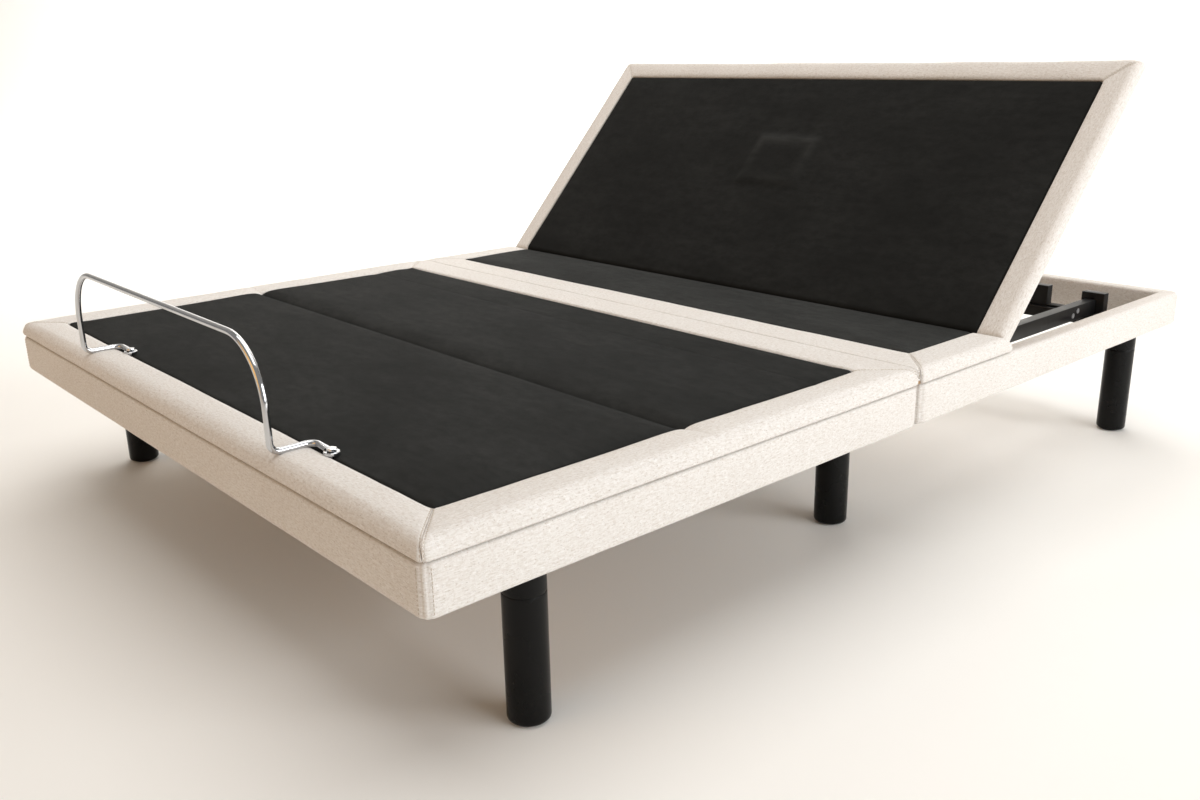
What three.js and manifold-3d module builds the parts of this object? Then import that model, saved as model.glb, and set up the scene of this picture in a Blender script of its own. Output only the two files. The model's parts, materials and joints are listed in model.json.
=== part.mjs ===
// Adjustable bed base, queen size, with a powered head section and a powered thigh and foot section.
// Units are millimetres. +X runs across the bed, +Y towards the head end and +Z up.
// The origin is on the floor under the middle of the base. The head section is modelled raised.

import * as THREE from 'three';
import { mergeVertices } from 'three/addons/utils/BufferGeometryUtils.js';
import Module from 'manifold-3d';

const wasm = await Module();
wasm.setup();

// ---------------------------------------------------------------- driving dimensions

const GAP = 0.3; // left between pieces that touch
const BED_WIDTH = 1520;
const BED_LENGTH = 2030;
const FOOT_MODULE_LENGTH = 990;
const CALF_LENGTH = 499;
const THIGH_LENGTH = 301;
const HEAD_PIVOT_FROM_JOINT = 299;
const HEAD_PANEL_LENGTH = 669;
const HEAD_PANEL_WIDTH = 1490;
const HEAD_RAISED = THREE.MathUtils.degToRad(47.5);

const LEG_HEIGHT = 236.2;
const LEG_RADIUS = 30.5;
const RAIL_HEIGHT = 73.2;
const RAIL_THICKNESS = 36;
const RAIL_CORNER = 7;
const BOARD_THICKNESS = 11.7;
const PAD_THICKNESS = 15;
const PAD_SKIRT = 6; // upholstery down the outer edge of a deck board
const MASSAGE_MOTOR_FROM_HINGE = 359;

const LIFT_RATIO_HEAD = 0.9608; // lift shaft turn for each turn of the head section
const LIFT_SHAFT_DROP = 62; // shaft centre below the deck hinge
const LIFT_SHAFT_RADIUS = 19;
const ROLLER_RADIUS = 18;
const PIN_RADIUS = 5;

// ---------------------------------------------------------------- heights and stations

const FOOT_END = -BED_LENGTH / 2;
const HEAD_END = BED_LENGTH / 2;
const SIDE = BED_WIDTH / 2;
const RAIL_INSIDE = SIDE - RAIL_THICKNESS;
const MODULE_JOINT = FOOT_END + FOOT_MODULE_LENGTH;
const KNEE_Y = FOOT_END + CALF_LENGTH;
const THIGH_PIVOT_Y = KNEE_Y + THIGH_LENGTH;
const HEAD_PIVOT_Y = MODULE_JOINT + HEAD_PIVOT_FROM_JOINT;

const RAIL_BOTTOM = LEG_HEIGHT + GAP;
const RAIL_TOP = RAIL_BOTTOM + RAIL_HEIGHT;
const DECK_BOTTOM = RAIL_TOP + GAP;
const BOARD_TOP = DECK_BOTTOM + BOARD_THICKNESS;
const PAD_BASE = BOARD_TOP + GAP;
const DECK_TOP = PAD_BASE + PAD_THICKNESS;

const HINGE_Z = PAD_BASE; // head and thigh hinges lie level with the top of the boards
const HINGE_BARREL = 2.5;
const HINGE_HALF_GAP = 3; // from a hinge centre to the board on either side
const KNEE_Z = DECK_BOTTOM - HINGE_BARREL - 2 * GAP; // the knee hinge lies under the boards

const CROSS_TUBE_BOTTOM = RAIL_BOTTOM + 0.5;
const CROSS_TUBE_HEIGHT = 25;
const CROSS_TUBE_DEPTH = 50;
const CROSS_TUBE_TOP = CROSS_TUBE_BOTTOM + CROSS_TUBE_HEIGHT;
const SIDE_TUBE_BOTTOM = CROSS_TUBE_TOP + GAP;
const SIDE_TUBE_HEIGHT = 32;
const SIDE_TUBE_TOP = SIDE_TUBE_BOTTOM + SIDE_TUBE_HEIGHT;
const SIDE_TUBE_INNER_X = 610;
const SIDE_TUBE_WIDTH = 25;
const TUBE_WALL = 2;

const CORNER_LEG_X = 697;
const MIDDLE_LEG_X = 574;
const FOOT_LEG_Y = -826;
const MIDDLE_LEG_Y = MODULE_JOINT + GAP + RAIL_THICKNESS / 2;
const HEAD_LEG_Y = 884;
const STUD_RADIUS = 5;
const STUD_LENGTH = 20;

// ---------------------------------------------------------------- finishes

function finish(color, roughness, metalness = 0) {
  return new THREE.MeshStandardMaterial({ color, roughness, metalness });
}

const linen = finish(0xe2d8ca, 0.95);
const plywood = finish(0xb08d5f, 0.75);
const blackSteel = finish(0x141416, 0.45, 0.4);
const legBlack = finish(0x101012, 0.35, 0.2);
const chrome = finish(0xd8d9dc, 0.12, 1);
const zinc = finish(0xa9acb0, 0.4, 0.9);
const nylon = finish(0xe6e6e2, 0.55);
const blackPlastic = finish(0x1b1b1d, 0.6);
const steelRod = finish(0xc4c6c9, 0.25, 1);

// ---------------------------------------------------------------- shape helpers

/** A closed manifold-3d solid with the surface of a three.js geometry. */
function solid(geometry) {
  const bare = geometry.clone();
  bare.deleteAttribute('normal');
  bare.deleteAttribute('uv');
  const merged = mergeVertices(bare, 1e-4);
  const vertProperties = merged.attributes.position.array;
  const triVerts = new Uint32Array(merged.index.array);
  return new wasm.Manifold(new wasm.Mesh({ numProp: 3, vertProperties, triVerts }));
}

function geometryOf(manifold) {
  const { vertProperties, triVerts } = manifold.getMesh();
  const geometry = new THREE.BufferGeometry();
  geometry.setAttribute('position', new THREE.BufferAttribute(vertProperties, 3));
  geometry.setIndex(new THREE.BufferAttribute(triVerts, 1));
  geometry.computeVertexNormals();
  return geometry;
}

function join(first, ...others) {
  return geometryOf(others.reduce((sum, part) => sum.add(solid(part)), solid(first)));
}

function cut(first, ...tools) {
  return geometryOf(tools.reduce((rest, tool) => rest.subtract(solid(tool)), solid(first)));
}

/** A box from its limits along X, Y and Z. */
function block([x0, x1], [y0, y1], [z0, z1]) {
  const box = new THREE.BoxGeometry(x1 - x0, y1 - y0, z1 - z0);
  return box.translate((x0 + x1) / 2, (y0 + y1) / 2, (z0 + z1) / 2);
}

const X_AXIS = new THREE.Vector3(1, 0, 0);
const Y_AXIS = new THREE.Vector3(0, 1, 0);
const Z_AXIS = new THREE.Vector3(0, 0, 1);

/** A profile drawn in (Y, Z), extruded from x0 to x1. */
function alongX(shape, x0, x1, curveSegments = 6) {
  const geometry = new THREE.ExtrudeGeometry(shape, { depth: x1 - x0, bevelEnabled: false, curveSegments });
  geometry.applyMatrix4(new THREE.Matrix4().makeBasis(Y_AXIS, Z_AXIS, X_AXIS));
  return geometry.translate(x0, 0, 0);
}

/** A profile drawn in (X, Z), extruded from y0 to y1. */
function alongY(shape, y0, y1, curveSegments = 6) {
  const geometry = new THREE.ExtrudeGeometry(shape, { depth: y1 - y0, bevelEnabled: false, curveSegments });
  geometry.applyMatrix4(new THREE.Matrix4().makeBasis(X_AXIS, Z_AXIS, Y_AXIS.clone().negate()));
  return geometry.translate(0, y1, 0);
}

function rectangle(a0, a1, b0, b1, radius = 0) {
  const shape = new THREE.Shape();
  if (radius === 0) {
    shape.moveTo(a0, b0).lineTo(a1, b0).lineTo(a1, b1).lineTo(a0, b1);
    return shape;
  }
  shape.moveTo(a0 + radius, b0).lineTo(a1 - radius, b0);
  shape.absarc(a1 - radius, b0 + radius, radius, -Math.PI / 2, 0);
  shape.absarc(a1 - radius, b1 - radius, radius, 0, Math.PI / 2);
  shape.absarc(a0 + radius, b1 - radius, radius, Math.PI / 2, Math.PI);
  shape.absarc(a0 + radius, b0 + radius, radius, Math.PI, 1.5 * Math.PI);
  return shape;
}

/** The section of a rectangular tube: an outline with an inner outline taken out. */
function tubeSection(a0, a1, b0, b1) {
  const shape = rectangle(a0, a1, b0, b1);
  shape.holes.push(rectangle(a0 + TUBE_WALL, a1 - TUBE_WALL, b0 + TUBE_WALL, b1 - TUBE_WALL));
  return shape;
}

function cylinderX(x0, x1, y, z, radius, sides = 20) {
  const cylinder = new THREE.CylinderGeometry(radius, radius, x1 - x0, sides);
  return cylinder.rotateZ(-Math.PI / 2).translate((x0 + x1) / 2, y, z);
}

function cylinderY(y0, y1, x, z, radius, sides = 20) {
  const cylinder = new THREE.CylinderGeometry(radius, radius, y1 - y0, sides);
  return cylinder.translate(x, (y0 + y1) / 2, z);
}

function cylinderZ(z0, z1, x, y, radius, sides = 20) {
  const cylinder = new THREE.CylinderGeometry(radius, radius, z1 - z0, sides);
  return cylinder.rotateX(Math.PI / 2).translate(x, y, (z0 + z1) / 2);
}

const bedBase = new THREE.Group();

function addPiece(parent, name, geometry, material) {
  const mesh = new THREE.Mesh(geometry, material);
  mesh.name = name;
  parent.add(mesh);
}

/** A group turned about an X-parallel axis at (y, z), whose contents keep the coordinates of the unturned part. */
function turnedGroup(y, z, angle) {
  const outer = new THREE.Group();
  outer.position.set(0, y, z);
  outer.rotation.x = angle;
  const inner = new THREE.Group();
  inner.position.set(0, -y, -z);
  outer.add(inner);
  bedBase.add(outer);
  return inner;
}

// ---------------------------------------------------------------- upholstered rails, two modules

function railAcross(halfWidth, y0, y1) {
  return alongX(rectangle(y0, y1, RAIL_BOTTOM, RAIL_TOP, RAIL_CORNER), -halfWidth, halfWidth, 3);
}

function railAlong(side, y0, y1) {
  const x0 = side < 0 ? -SIDE : RAIL_INSIDE;
  return alongY(rectangle(x0, x0 + RAIL_THICKNESS, RAIL_BOTTOM, RAIL_TOP, RAIL_CORNER), y0, y1, 3);
}

function addRails() {
  const footInside = FOOT_END + RAIL_THICKNESS;
  const headInside = HEAD_END - RAIL_THICKNESS;
  const footJoint = MODULE_JOINT - GAP;
  const headJoint = MODULE_JOINT + GAP;
  const insideWidth = RAIL_INSIDE - GAP;
  const studHoles = [-1, 1].map((side) =>
    cylinderZ(RAIL_BOTTOM - 1, LEG_HEIGHT + STUD_LENGTH + 2, side * MIDDLE_LEG_X, MIDDLE_LEG_Y, STUD_RADIUS + 1, 16));

  addPiece(bedBase, 'foot_end_rail', railAcross(SIDE, FOOT_END, footInside), linen);
  addPiece(bedBase, 'foot_mid_rail', railAcross(insideWidth, footJoint - RAIL_THICKNESS, footJoint), linen);
  addPiece(bedBase, 'head_mid_rail', cut(railAcross(insideWidth, headJoint, headJoint + RAIL_THICKNESS), ...studHoles), linen);
  addPiece(bedBase, 'head_end_rail', railAcross(SIDE, headInside, HEAD_END), linen);
  for (const [sideName, side] of [['left', -1], ['right', 1]]) {
    addPiece(bedBase, `foot_${sideName}_rail`, railAlong(side, footInside + GAP, footJoint), linen);
    addPiece(bedBase, `head_${sideName}_rail`, railAlong(side, headJoint, headInside - GAP), linen);
  }
}

// ---------------------------------------------------------------- steel frame

const BEARING_PLATE_THICKNESS = 6;
const BEARING_PLATE_HALF_WIDTH = 30;
const JOURNAL_RADIUS = 8;
const REST_POST_BOTTOM = CROSS_TUBE_TOP + GAP;
const REST_POST_Y = [872, 894];

/** A tube beside the rail, with the hanger plate that carries one end of a lift shaft. */
function sideTube(side, y0, y1, shaftY) {
  const inner = side * SIDE_TUBE_INNER_X;
  const outer = side * (SIDE_TUBE_INNER_X + SIDE_TUBE_WIDTH);
  const plateFace = side * (SIDE_TUBE_INNER_X - BEARING_PLATE_THICKNESS);
  const ordered = (a, b) => [Math.min(a, b), Math.max(a, b)];
  const [x0, x1] = ordered(inner, outer);
  const tube = alongY(tubeSection(x0, x1, SIDE_TUBE_BOTTOM, SIDE_TUBE_TOP), y0, y1);
  const plate = block(
    ordered(plateFace, inner + side * TUBE_WALL / 2),
    [shaftY - BEARING_PLATE_HALF_WIDTH, shaftY + BEARING_PLATE_HALF_WIDTH],
    [RAIL_BOTTOM, SIDE_TUBE_TOP - 1]);
  const [bore0, bore1] = ordered(plateFace - side * 2, inner - side * GAP);
  const bore = cylinderX(bore0, bore1, shaftY, HINGE_Z - LIFT_SHAFT_DROP, JOURNAL_RADIUS + 0.5);
  return cut(join(tube, plate), bore);
}

function legCrossTube(y) {
  const half = CROSS_TUBE_DEPTH / 2;
  const section = tubeSection(y - half, y + half, CROSS_TUBE_BOTTOM, CROSS_TUBE_TOP);
  const length = RAIL_INSIDE - 2;
  const studHoles = [-1, 1].map((side) =>
    cylinderZ(CROSS_TUBE_BOTTOM - 1, CROSS_TUBE_BOTTOM + TUBE_WALL + 1, side * CORNER_LEG_X, y, STUD_RADIUS + 1, 16));
  return cut(alongX(section, -length, length), ...studHoles);
}

/** Two posts on one foot plate, which the lowered head section rests on. */
function deckRest(side) {
  const mirrored = (a, b) => (side > 0 ? [a, b] : [-b, -a]);
  const [y0, y1] = REST_POST_Y;
  const top = DECK_BOTTOM - 2 * GAP;
  const footPlate = block(mirrored(455, 668), [y0, y1 + 3], [REST_POST_BOTTOM, REST_POST_BOTTOM + 4]);
  const outerPost = block(mirrored(601, 653), [y0, y1], [REST_POST_BOTTOM + 1, top]);
  const innerPost = block(mirrored(470, 520), [y0, y1], [REST_POST_BOTTOM + 1, top]);
  return join(footPlate, outerPost, innerPost);
}

function addSteelFrame(footShaftY, headShaftY, footBracket) {
  const footTubeEnds = [FOOT_END + RAIL_THICKNESS + 2 * GAP, MODULE_JOINT - RAIL_THICKNESS - 2 * GAP - 1];
  const headTubeEnds = [MODULE_JOINT + RAIL_THICKNESS + 2 * GAP + 1, REST_POST_Y[0] - GAP];
  for (const [sideName, side] of [['left', -1], ['right', 1]]) {
    addPiece(bedBase, `foot_${sideName}_tube`, sideTube(side, ...footTubeEnds, footShaftY), blackSteel);
    addPiece(bedBase, `head_${sideName}_tube`, sideTube(side, ...headTubeEnds, headShaftY), blackSteel);
    addPiece(bedBase, `${sideName}_deck_rest`, deckRest(side), blackSteel);
  }
  addPiece(bedBase, 'foot_cross_tube', join(legCrossTube(FOOT_LEG_Y), ...footBracket), blackSteel);
  addPiece(bedBase, 'head_cross_tube', legCrossTube(HEAD_LEG_Y), blackSteel);
}

// ---------------------------------------------------------------- legs

/** A turned leg with a rounded foot, a ring groove near the top and the stud that screws it in. */
function leg() {
  const grooveZ = LEG_HEIGHT - 44;
  const profile = [
    [0, 0], [LEG_RADIUS - 6, 0], [LEG_RADIUS - 1.8, 1.8], [LEG_RADIUS, 6],
    [LEG_RADIUS, grooveZ - 1.5], [LEG_RADIUS - 1.2, grooveZ], [LEG_RADIUS, grooveZ + 1.5],
    [LEG_RADIUS, LEG_HEIGHT - 1], [LEG_RADIUS - 1, LEG_HEIGHT],
    [STUD_RADIUS, LEG_HEIGHT], [STUD_RADIUS, LEG_HEIGHT + STUD_LENGTH], [0, LEG_HEIGHT + STUD_LENGTH],
  ].map(([r, z]) => new THREE.Vector2(r, z));
  return new THREE.LatheGeometry(profile, 24).rotateX(Math.PI / 2);
}

function addLegs() {
  const places = {
    foot_left_leg: [-CORNER_LEG_X, FOOT_LEG_Y], foot_right_leg: [CORNER_LEG_X, FOOT_LEG_Y],
    middle_left_leg: [-MIDDLE_LEG_X, MIDDLE_LEG_Y], middle_right_leg: [MIDDLE_LEG_X, MIDDLE_LEG_Y],
    head_left_leg: [-CORNER_LEG_X, HEAD_LEG_Y], head_right_leg: [CORNER_LEG_X, HEAD_LEG_Y],
  };
  for (const [name, [x, y]] of Object.entries(places)) {
    addPiece(bedBase, name, leg().translate(x, y, 0), legBlack);
  }
}

// ---------------------------------------------------------------- deck boards and pads

const MOTOR_PLATE = { width: 176, length: 138, thickness: 3 };
const MOTOR_BODY = { width: 136, length: 96, depth: 36 };

/** How one end of a deck section finishes: upholstered over, hinged, or square against its neighbour. */
const WRAPPED = 'wrapped';
const HINGED = 'hinged';
const BUTTED = 'butted';

function boardLimits(start, end, startFinish, endFinish) {
  const inset = { [WRAPPED]: PAD_SKIRT + GAP, [HINGED]: 0.2, [BUTTED]: 0 };
  return [start + inset[startFinish], end - inset[endFinish]];
}

/** A plywood deck board, with a cut-out where a massage motor hangs through it. */
function deckBoard(halfWidth, start, end, startFinish, endFinish, motorY, bolts = []) {
  const [y0, y1] = boardLimits(start, end, startFinish, endFinish);
  const inside = halfWidth - PAD_SKIRT - GAP;
  const board = block([-inside, inside], [y0, y1], [DECK_BOTTOM, BOARD_TOP]);
  const tools = bolts.map(([x, y]) => cylinderZ(DECK_BOTTOM - 1, BOARD_TOP + 1, x, y, BOLT_RADIUS + 0.6, 16));
  if (motorY !== undefined) {
    const halfX = MOTOR_BODY.width / 2 + 3;
    const halfY = MOTOR_BODY.length / 2 + 3;
    tools.push(block([-halfX, halfX], [motorY - halfY, motorY + halfY], [DECK_BOTTOM - 1, BOARD_TOP + 1]));
  }
  return tools.length ? cut(board, ...tools) : board;
}

/** The upholstered pad over a deck board: rounded along its top edges, with a skirt down the outer edges. */
function deckPad(halfWidth, start, end, startFinish, endFinish, motorY, bolts = []) {
  const overrun = 2 * PAD_THICKNESS;
  const slabStart = startFinish === BUTTED ? start - overrun : start;
  const slabEnd = endFinish === BUTTED ? end + overrun : end;
  const straight = 2 * PAD_THICKNESS;
  const slab = new THREE.ExtrudeGeometry(rectangle(-halfWidth, halfWidth, slabStart, slabEnd), {
    depth: straight, bevelEnabled: true, bevelThickness: PAD_THICKNESS, bevelSize: PAD_THICKNESS,
    bevelOffset: -PAD_THICKNESS, bevelSegments: 4,
  });
  slab.translate(0, 0, PAD_BASE - straight);
  const wide = [-SIDE - 1, SIDE + 1];
  const inside = halfWidth - PAD_SKIRT;
  const pocketStart = startFinish === WRAPPED ? start + PAD_SKIRT : start - overrun;
  const pocketEnd = endFinish === WRAPPED ? end - PAD_SKIRT : end + overrun;
  const tools = [
    block(wide, [slabStart - 1, slabEnd + 1], [DECK_BOTTOM - 3 * overrun, DECK_BOTTOM]),
    block([-inside, inside], [pocketStart, pocketEnd], [DECK_BOTTOM - 1, PAD_BASE]),
  ];
  if (startFinish === BUTTED) tools.push(block(wide, [slabStart - 1, start], [DECK_BOTTOM - 1, DECK_TOP + 1]));
  if (endFinish === BUTTED) tools.push(block(wide, [end, slabEnd + 1], [DECK_BOTTOM - 1, DECK_TOP + 1]));
  if (motorY !== undefined) {
    const halfX = MOTOR_PLATE.width / 2 + GAP;
    const halfY = MOTOR_PLATE.length / 2 + GAP;
    tools.push(block([-halfX, halfX], [motorY - halfY, motorY + halfY], [BOARD_TOP, PAD_BASE + MOTOR_PLATE.thickness + 2 * GAP]));
  }
  for (const [x, y] of bolts) tools.push(cylinderZ(BOARD_TOP, DECK_TOP + 1, x, y, BOLT_RADIUS + 0.6, 16));
  return cut(slab, ...tools);
}

/** A massage motor: a flange plate on top of the board and a housing that hangs through it. */
function massageMotor(y) {
  const half = (size) => size / 2;
  const plate = block(
    [-half(MOTOR_PLATE.width), half(MOTOR_PLATE.width)],
    [y - half(MOTOR_PLATE.length), y + half(MOTOR_PLATE.length)],
    [PAD_BASE, PAD_BASE + MOTOR_PLATE.thickness]);
  const housing = alongX(
    rectangle(y - half(MOTOR_BODY.length), y + half(MOTOR_BODY.length), PAD_BASE - BOARD_THICKNESS - MOTOR_BODY.depth, PAD_BASE + 1, 6),
    -half(MOTOR_BODY.width), half(MOTOR_BODY.width), 3);
  return join(plate, housing);
}

// ---------------------------------------------------------------- hinges

const HINGE_HALF_LENGTH = 700;
const LEAF_THICKNESS = 1.2;

/** A piano hinge whose leaf stands against the end face of a fixed board. direction is +1 if the board lies on the -Y side. */
function edgeHinge(y, direction) {
  const barrel = cylinderX(-HINGE_HALF_LENGTH, HINGE_HALF_LENGTH, y, HINGE_Z, HINGE_BARREL, 12);
  const near = y - direction * (HINGE_HALF_GAP - GAP);
  const far = near + direction * LEAF_THICKNESS;
  const leaf = block(
    [-HINGE_HALF_LENGTH, HINGE_HALF_LENGTH],
    [Math.min(near, far), Math.max(near, far)],
    [DECK_BOTTOM + 1, HINGE_Z - GAP]);
  return join(barrel, leaf);
}

/** The knee hinge, whose leaf lies flat under the thigh board. */
function kneeHinge() {
  const barrel = cylinderX(-HINGE_HALF_LENGTH, HINGE_HALF_LENGTH, KNEE_Y, KNEE_Z, HINGE_BARREL, 12);
  const leafTop = DECK_BOTTOM - GAP;
  const leaf = block([-HINGE_HALF_LENGTH, HINGE_HALF_LENGTH], [KNEE_Y, KNEE_Y + 26], [leafTop - LEAF_THICKNESS, leafTop]);
  return join(barrel, leaf);
}

// ---------------------------------------------------------------- mattress retainer bar

const BOLT_RADIUS = 4;
const RETAINER = {
  rod: 5, halfWidth: 378, top: 497, corner: 95, bend: 14, y: FOOT_END + 9, footY: FOOT_END + 74, footReach: 50,
  rodShort: 11, // the rod stops this far from the centre of its flattened eye
};

/** A path through points joined by straight runs, with each right-angled corner rounded to its radius. */
function roundedPath(points, radii) {
  const kappa = 0.5523; // places the handles so that a quarter turn is an arc
  const path = new THREE.CurvePath();
  let from = points[0];
  for (let i = 1; i < points.length - 1; i += 1) {
    const corner = points[i];
    const before = corner.clone().sub(points[i - 1]).normalize();
    const after = points[i + 1].clone().sub(corner).normalize();
    const entry = corner.clone().addScaledVector(before, -radii[i - 1]);
    const exit = corner.clone().addScaledVector(after, radii[i - 1]);
    path.add(new THREE.LineCurve3(from, entry));
    path.add(new THREE.CubicBezierCurve3(
      entry, entry.clone().addScaledVector(before, kappa * radii[i - 1]),
      exit.clone().addScaledVector(after, -kappa * radii[i - 1]), exit));
    from = exit;
  }
  path.add(new THREE.LineCurve3(from, points[points.length - 1]));
  return path;
}

const retainerFeet = [[RETAINER.halfWidth + RETAINER.footReach, RETAINER.footY], [-RETAINER.halfWidth + RETAINER.footReach, RETAINER.footY]];

function retainerBar() {
  const restZ = DECK_TOP + GAP + RETAINER.rod;
  const { halfWidth, top, y, footY, bend, corner, rodShort } = RETAINER;
  const [nearFoot, farFoot] = retainerFeet;
  const points = [
    [nearFoot[0] - rodShort, footY, restZ], [halfWidth, footY, restZ], [halfWidth, y, restZ], [halfWidth, y, top],
    [-halfWidth, y, top], [-halfWidth, y, restZ], [-halfWidth, footY, restZ], [farFoot[0] - rodShort, footY, restZ],
  ].map((p) => new THREE.Vector3(...p));
  const path = roundedPath(points, [bend, bend, corner, corner, bend, bend]);
  const section = new THREE.Shape().absarc(0, 0, RETAINER.rod, 0, 2 * Math.PI);
  const rod = new THREE.ExtrudeGeometry(section, { steps: 104, extrudePath: path, curveSegments: 4 });
  const eyeBottom = DECK_TOP + GAP;
  const eyes = retainerFeet.map(([x, footEyeY]) => cylinderZ(eyeBottom, eyeBottom + 5, x, footEyeY, 12, 20));
  const boltHoles = retainerFeet.map(([x, footEyeY]) => cylinderZ(DECK_TOP, DECK_TOP + 20, x, footEyeY, BOLT_RADIUS + 0.5, 16));
  return cut(join(rod, ...eyes), ...boltHoles);
}

function retainerBolt([x, y]) {
  const underHead = DECK_TOP + 5 + 2 * GAP;
  const head = cylinderZ(underHead, underHead + 4, x, y, 8, 6);
  const shank = cylinderZ(DECK_BOTTOM - 6, underHead + 1, x, y, BOLT_RADIUS, 16);
  return join(head, shank);
}

// ---------------------------------------------------------------- deck sections

function addSeat() {
  const thighEdge = THIGH_PIVOT_Y + HINGE_HALF_GAP - 0.2;
  const headEdge = HEAD_PIVOT_Y - HINGE_HALF_GAP + 0.2;
  const footJoint = MODULE_JOINT - GAP;
  const headJoint = MODULE_JOINT + GAP;
  addPiece(bedBase, 'foot_seat_board', deckBoard(SIDE, thighEdge, footJoint, HINGED, BUTTED), plywood);
  addPiece(bedBase, 'foot_seat_pad', deckPad(SIDE, thighEdge, footJoint, HINGED, BUTTED), linen);
  addPiece(bedBase, 'head_seat_board', deckBoard(SIDE, headJoint, headEdge, BUTTED, HINGED), plywood);
  addPiece(bedBase, 'head_seat_pad', deckPad(SIDE, headJoint, headEdge, BUTTED, HINGED), linen);
  addPiece(bedBase, 'head_hinge', edgeHinge(HEAD_PIVOT_Y, 1), zinc);
  addPiece(bedBase, 'thigh_hinge', edgeHinge(THIGH_PIVOT_Y, -1), zinc);
}

function addHeadSection() {
  const section = turnedGroup(HEAD_PIVOT_Y, HINGE_Z, HEAD_RAISED);
  const start = HEAD_PIVOT_Y + HINGE_HALF_GAP - 0.2;
  const end = HEAD_PIVOT_Y + HEAD_PANEL_LENGTH;
  const motorY = HEAD_PIVOT_Y + MASSAGE_MOTOR_FROM_HINGE;
  const half = HEAD_PANEL_WIDTH / 2;
  addPiece(section, 'head_board', deckBoard(half, start, end, HINGED, WRAPPED, motorY), plywood);
  addPiece(section, 'head_pad', deckPad(half, start, end, HINGED, WRAPPED, motorY), linen);
  addPiece(section, 'head_massage_motor', massageMotor(motorY), blackPlastic);
}

function addFootSection() {
  const kneeGap = 0.8;
  const thighStart = KNEE_Y + kneeGap;
  const thighEnd = THIGH_PIVOT_Y - HINGE_HALF_GAP + 0.2;
  const calfEnd = KNEE_Y - kneeGap;
  const motorY = KNEE_Y - CALF_LENGTH / 2;
  addPiece(bedBase, 'thigh_board', deckBoard(SIDE, thighStart, thighEnd, HINGED, HINGED), plywood);
  addPiece(bedBase, 'thigh_pad', deckPad(SIDE, thighStart, thighEnd, HINGED, HINGED), linen);
  addPiece(bedBase, 'knee_hinge', kneeHinge(), zinc);
  addPiece(bedBase, 'calf_board', deckBoard(SIDE, FOOT_END, calfEnd, WRAPPED, HINGED, motorY, retainerFeet), plywood);
  addPiece(bedBase, 'calf_pad', deckPad(SIDE, FOOT_END, calfEnd, WRAPPED, HINGED, motorY, retainerFeet), linen);
  addPiece(bedBase, 'foot_massage_motor', massageMotor(motorY), blackPlastic);
  addPiece(bedBase, 'retainer_bar', retainerBar(), chrome);
  addPiece(bedBase, 'right_retainer_bolt', retainerBolt(retainerFeet[0]), chrome);
  addPiece(bedBase, 'left_retainer_bolt', retainerBolt(retainerFeet[1]), chrome);
  const glideY = [FOOT_END + RAIL_THICKNESS + 6, FOOT_END + RAIL_THICKNESS + 36];
  const glideZ = [SIDE_TUBE_TOP + 2 * GAP, DECK_BOTTOM - GAP];
  addPiece(bedBase, 'left_calf_glide', block([-640, -605], glideY, glideZ), nylon);
  addPiece(bedBase, 'right_calf_glide', block([605, 640], glideY, glideZ), nylon);
}

// ---------------------------------------------------------------- lift shafts, arms and rollers

const SHAFT_Z = HINGE_Z - LIFT_SHAFT_DROP;
const HEAD_LIFT = {
  shaftY: HEAD_PIVOT_Y + 20, towards: 1, armLength: 334.3, armSlope: 5.36, armX: 420, leverLength: 60, leverLean: -28.8,
};
const FOOT_LIFT = {
  shaftY: THIGH_PIVOT_Y - 10, towards: -1, armLength: 169.5, armSlope: 10.61, armX: 300, leverLength: 80, leverLean: 16.6,
};
const ARM_THICKNESS = 8;
const ROLLER_WIDTH = 22;
const LEVER_THICKNESS = 10;
const SHAFT_HALF_LENGTH = SIDE_TUBE_INNER_X - BEARING_PLATE_THICKNESS - 1;

/** A flat bar between two round ends, in the YZ plane, from x0 to x1. */
function flatLink([y0, z0], [y1, z1], bigRadius, smallRadius, x0, x1) {
  const direction = Math.atan2(z1 - z0, y1 - y0);
  const shape = new THREE.Shape();
  shape.absarc(y0, z0, bigRadius, direction + Math.PI / 2, direction + 1.5 * Math.PI);
  shape.absarc(y1, z1, smallRadius, direction - Math.PI / 2, direction + Math.PI / 2);
  return alongX(shape, x0, x1, 8);
}

function armTip({ shaftY, towards, armLength, armSlope }) {
  const slope = THREE.MathUtils.degToRad(armSlope);
  return [shaftY + towards * armLength * Math.cos(slope), SHAFT_Z + armLength * Math.sin(slope)];
}

/** Where the lever pin is with the deck flat; the lever leans from straight down by leverLean degrees towards +Y. */
function leverTip({ shaftY, leverLength, leverLean }) {
  const lean = THREE.MathUtils.degToRad(leverLean);
  return [shaftY + leverLength * Math.sin(lean), SHAFT_Z - leverLength * Math.cos(lean)];
}

/** The lift shaft: a tube with a journal at each end, and the lever and its pin that the actuator drives. */
function liftShaft(lift) {
  const { shaftY } = lift;
  const tip = leverTip(lift);
  const half = LEVER_THICKNESS / 2;
  const shaft = cylinderX(-SHAFT_HALF_LENGTH, SHAFT_HALF_LENGTH, shaftY, SHAFT_Z, LIFT_SHAFT_RADIUS);
  const journal = SIDE_TUBE_INNER_X - 2 * GAP;
  const journals = cylinderX(-journal, journal, shaftY, SHAFT_Z, JOURNAL_RADIUS);
  const lever = flatLink([shaftY, SHAFT_Z], tip, LIFT_SHAFT_RADIUS + 6, 12, -half, half);
  const pin = cylinderX(-19, 19, ...tip, PIN_RADIUS, 16);
  return join(shaft, journals, lever, pin);
}

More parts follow.
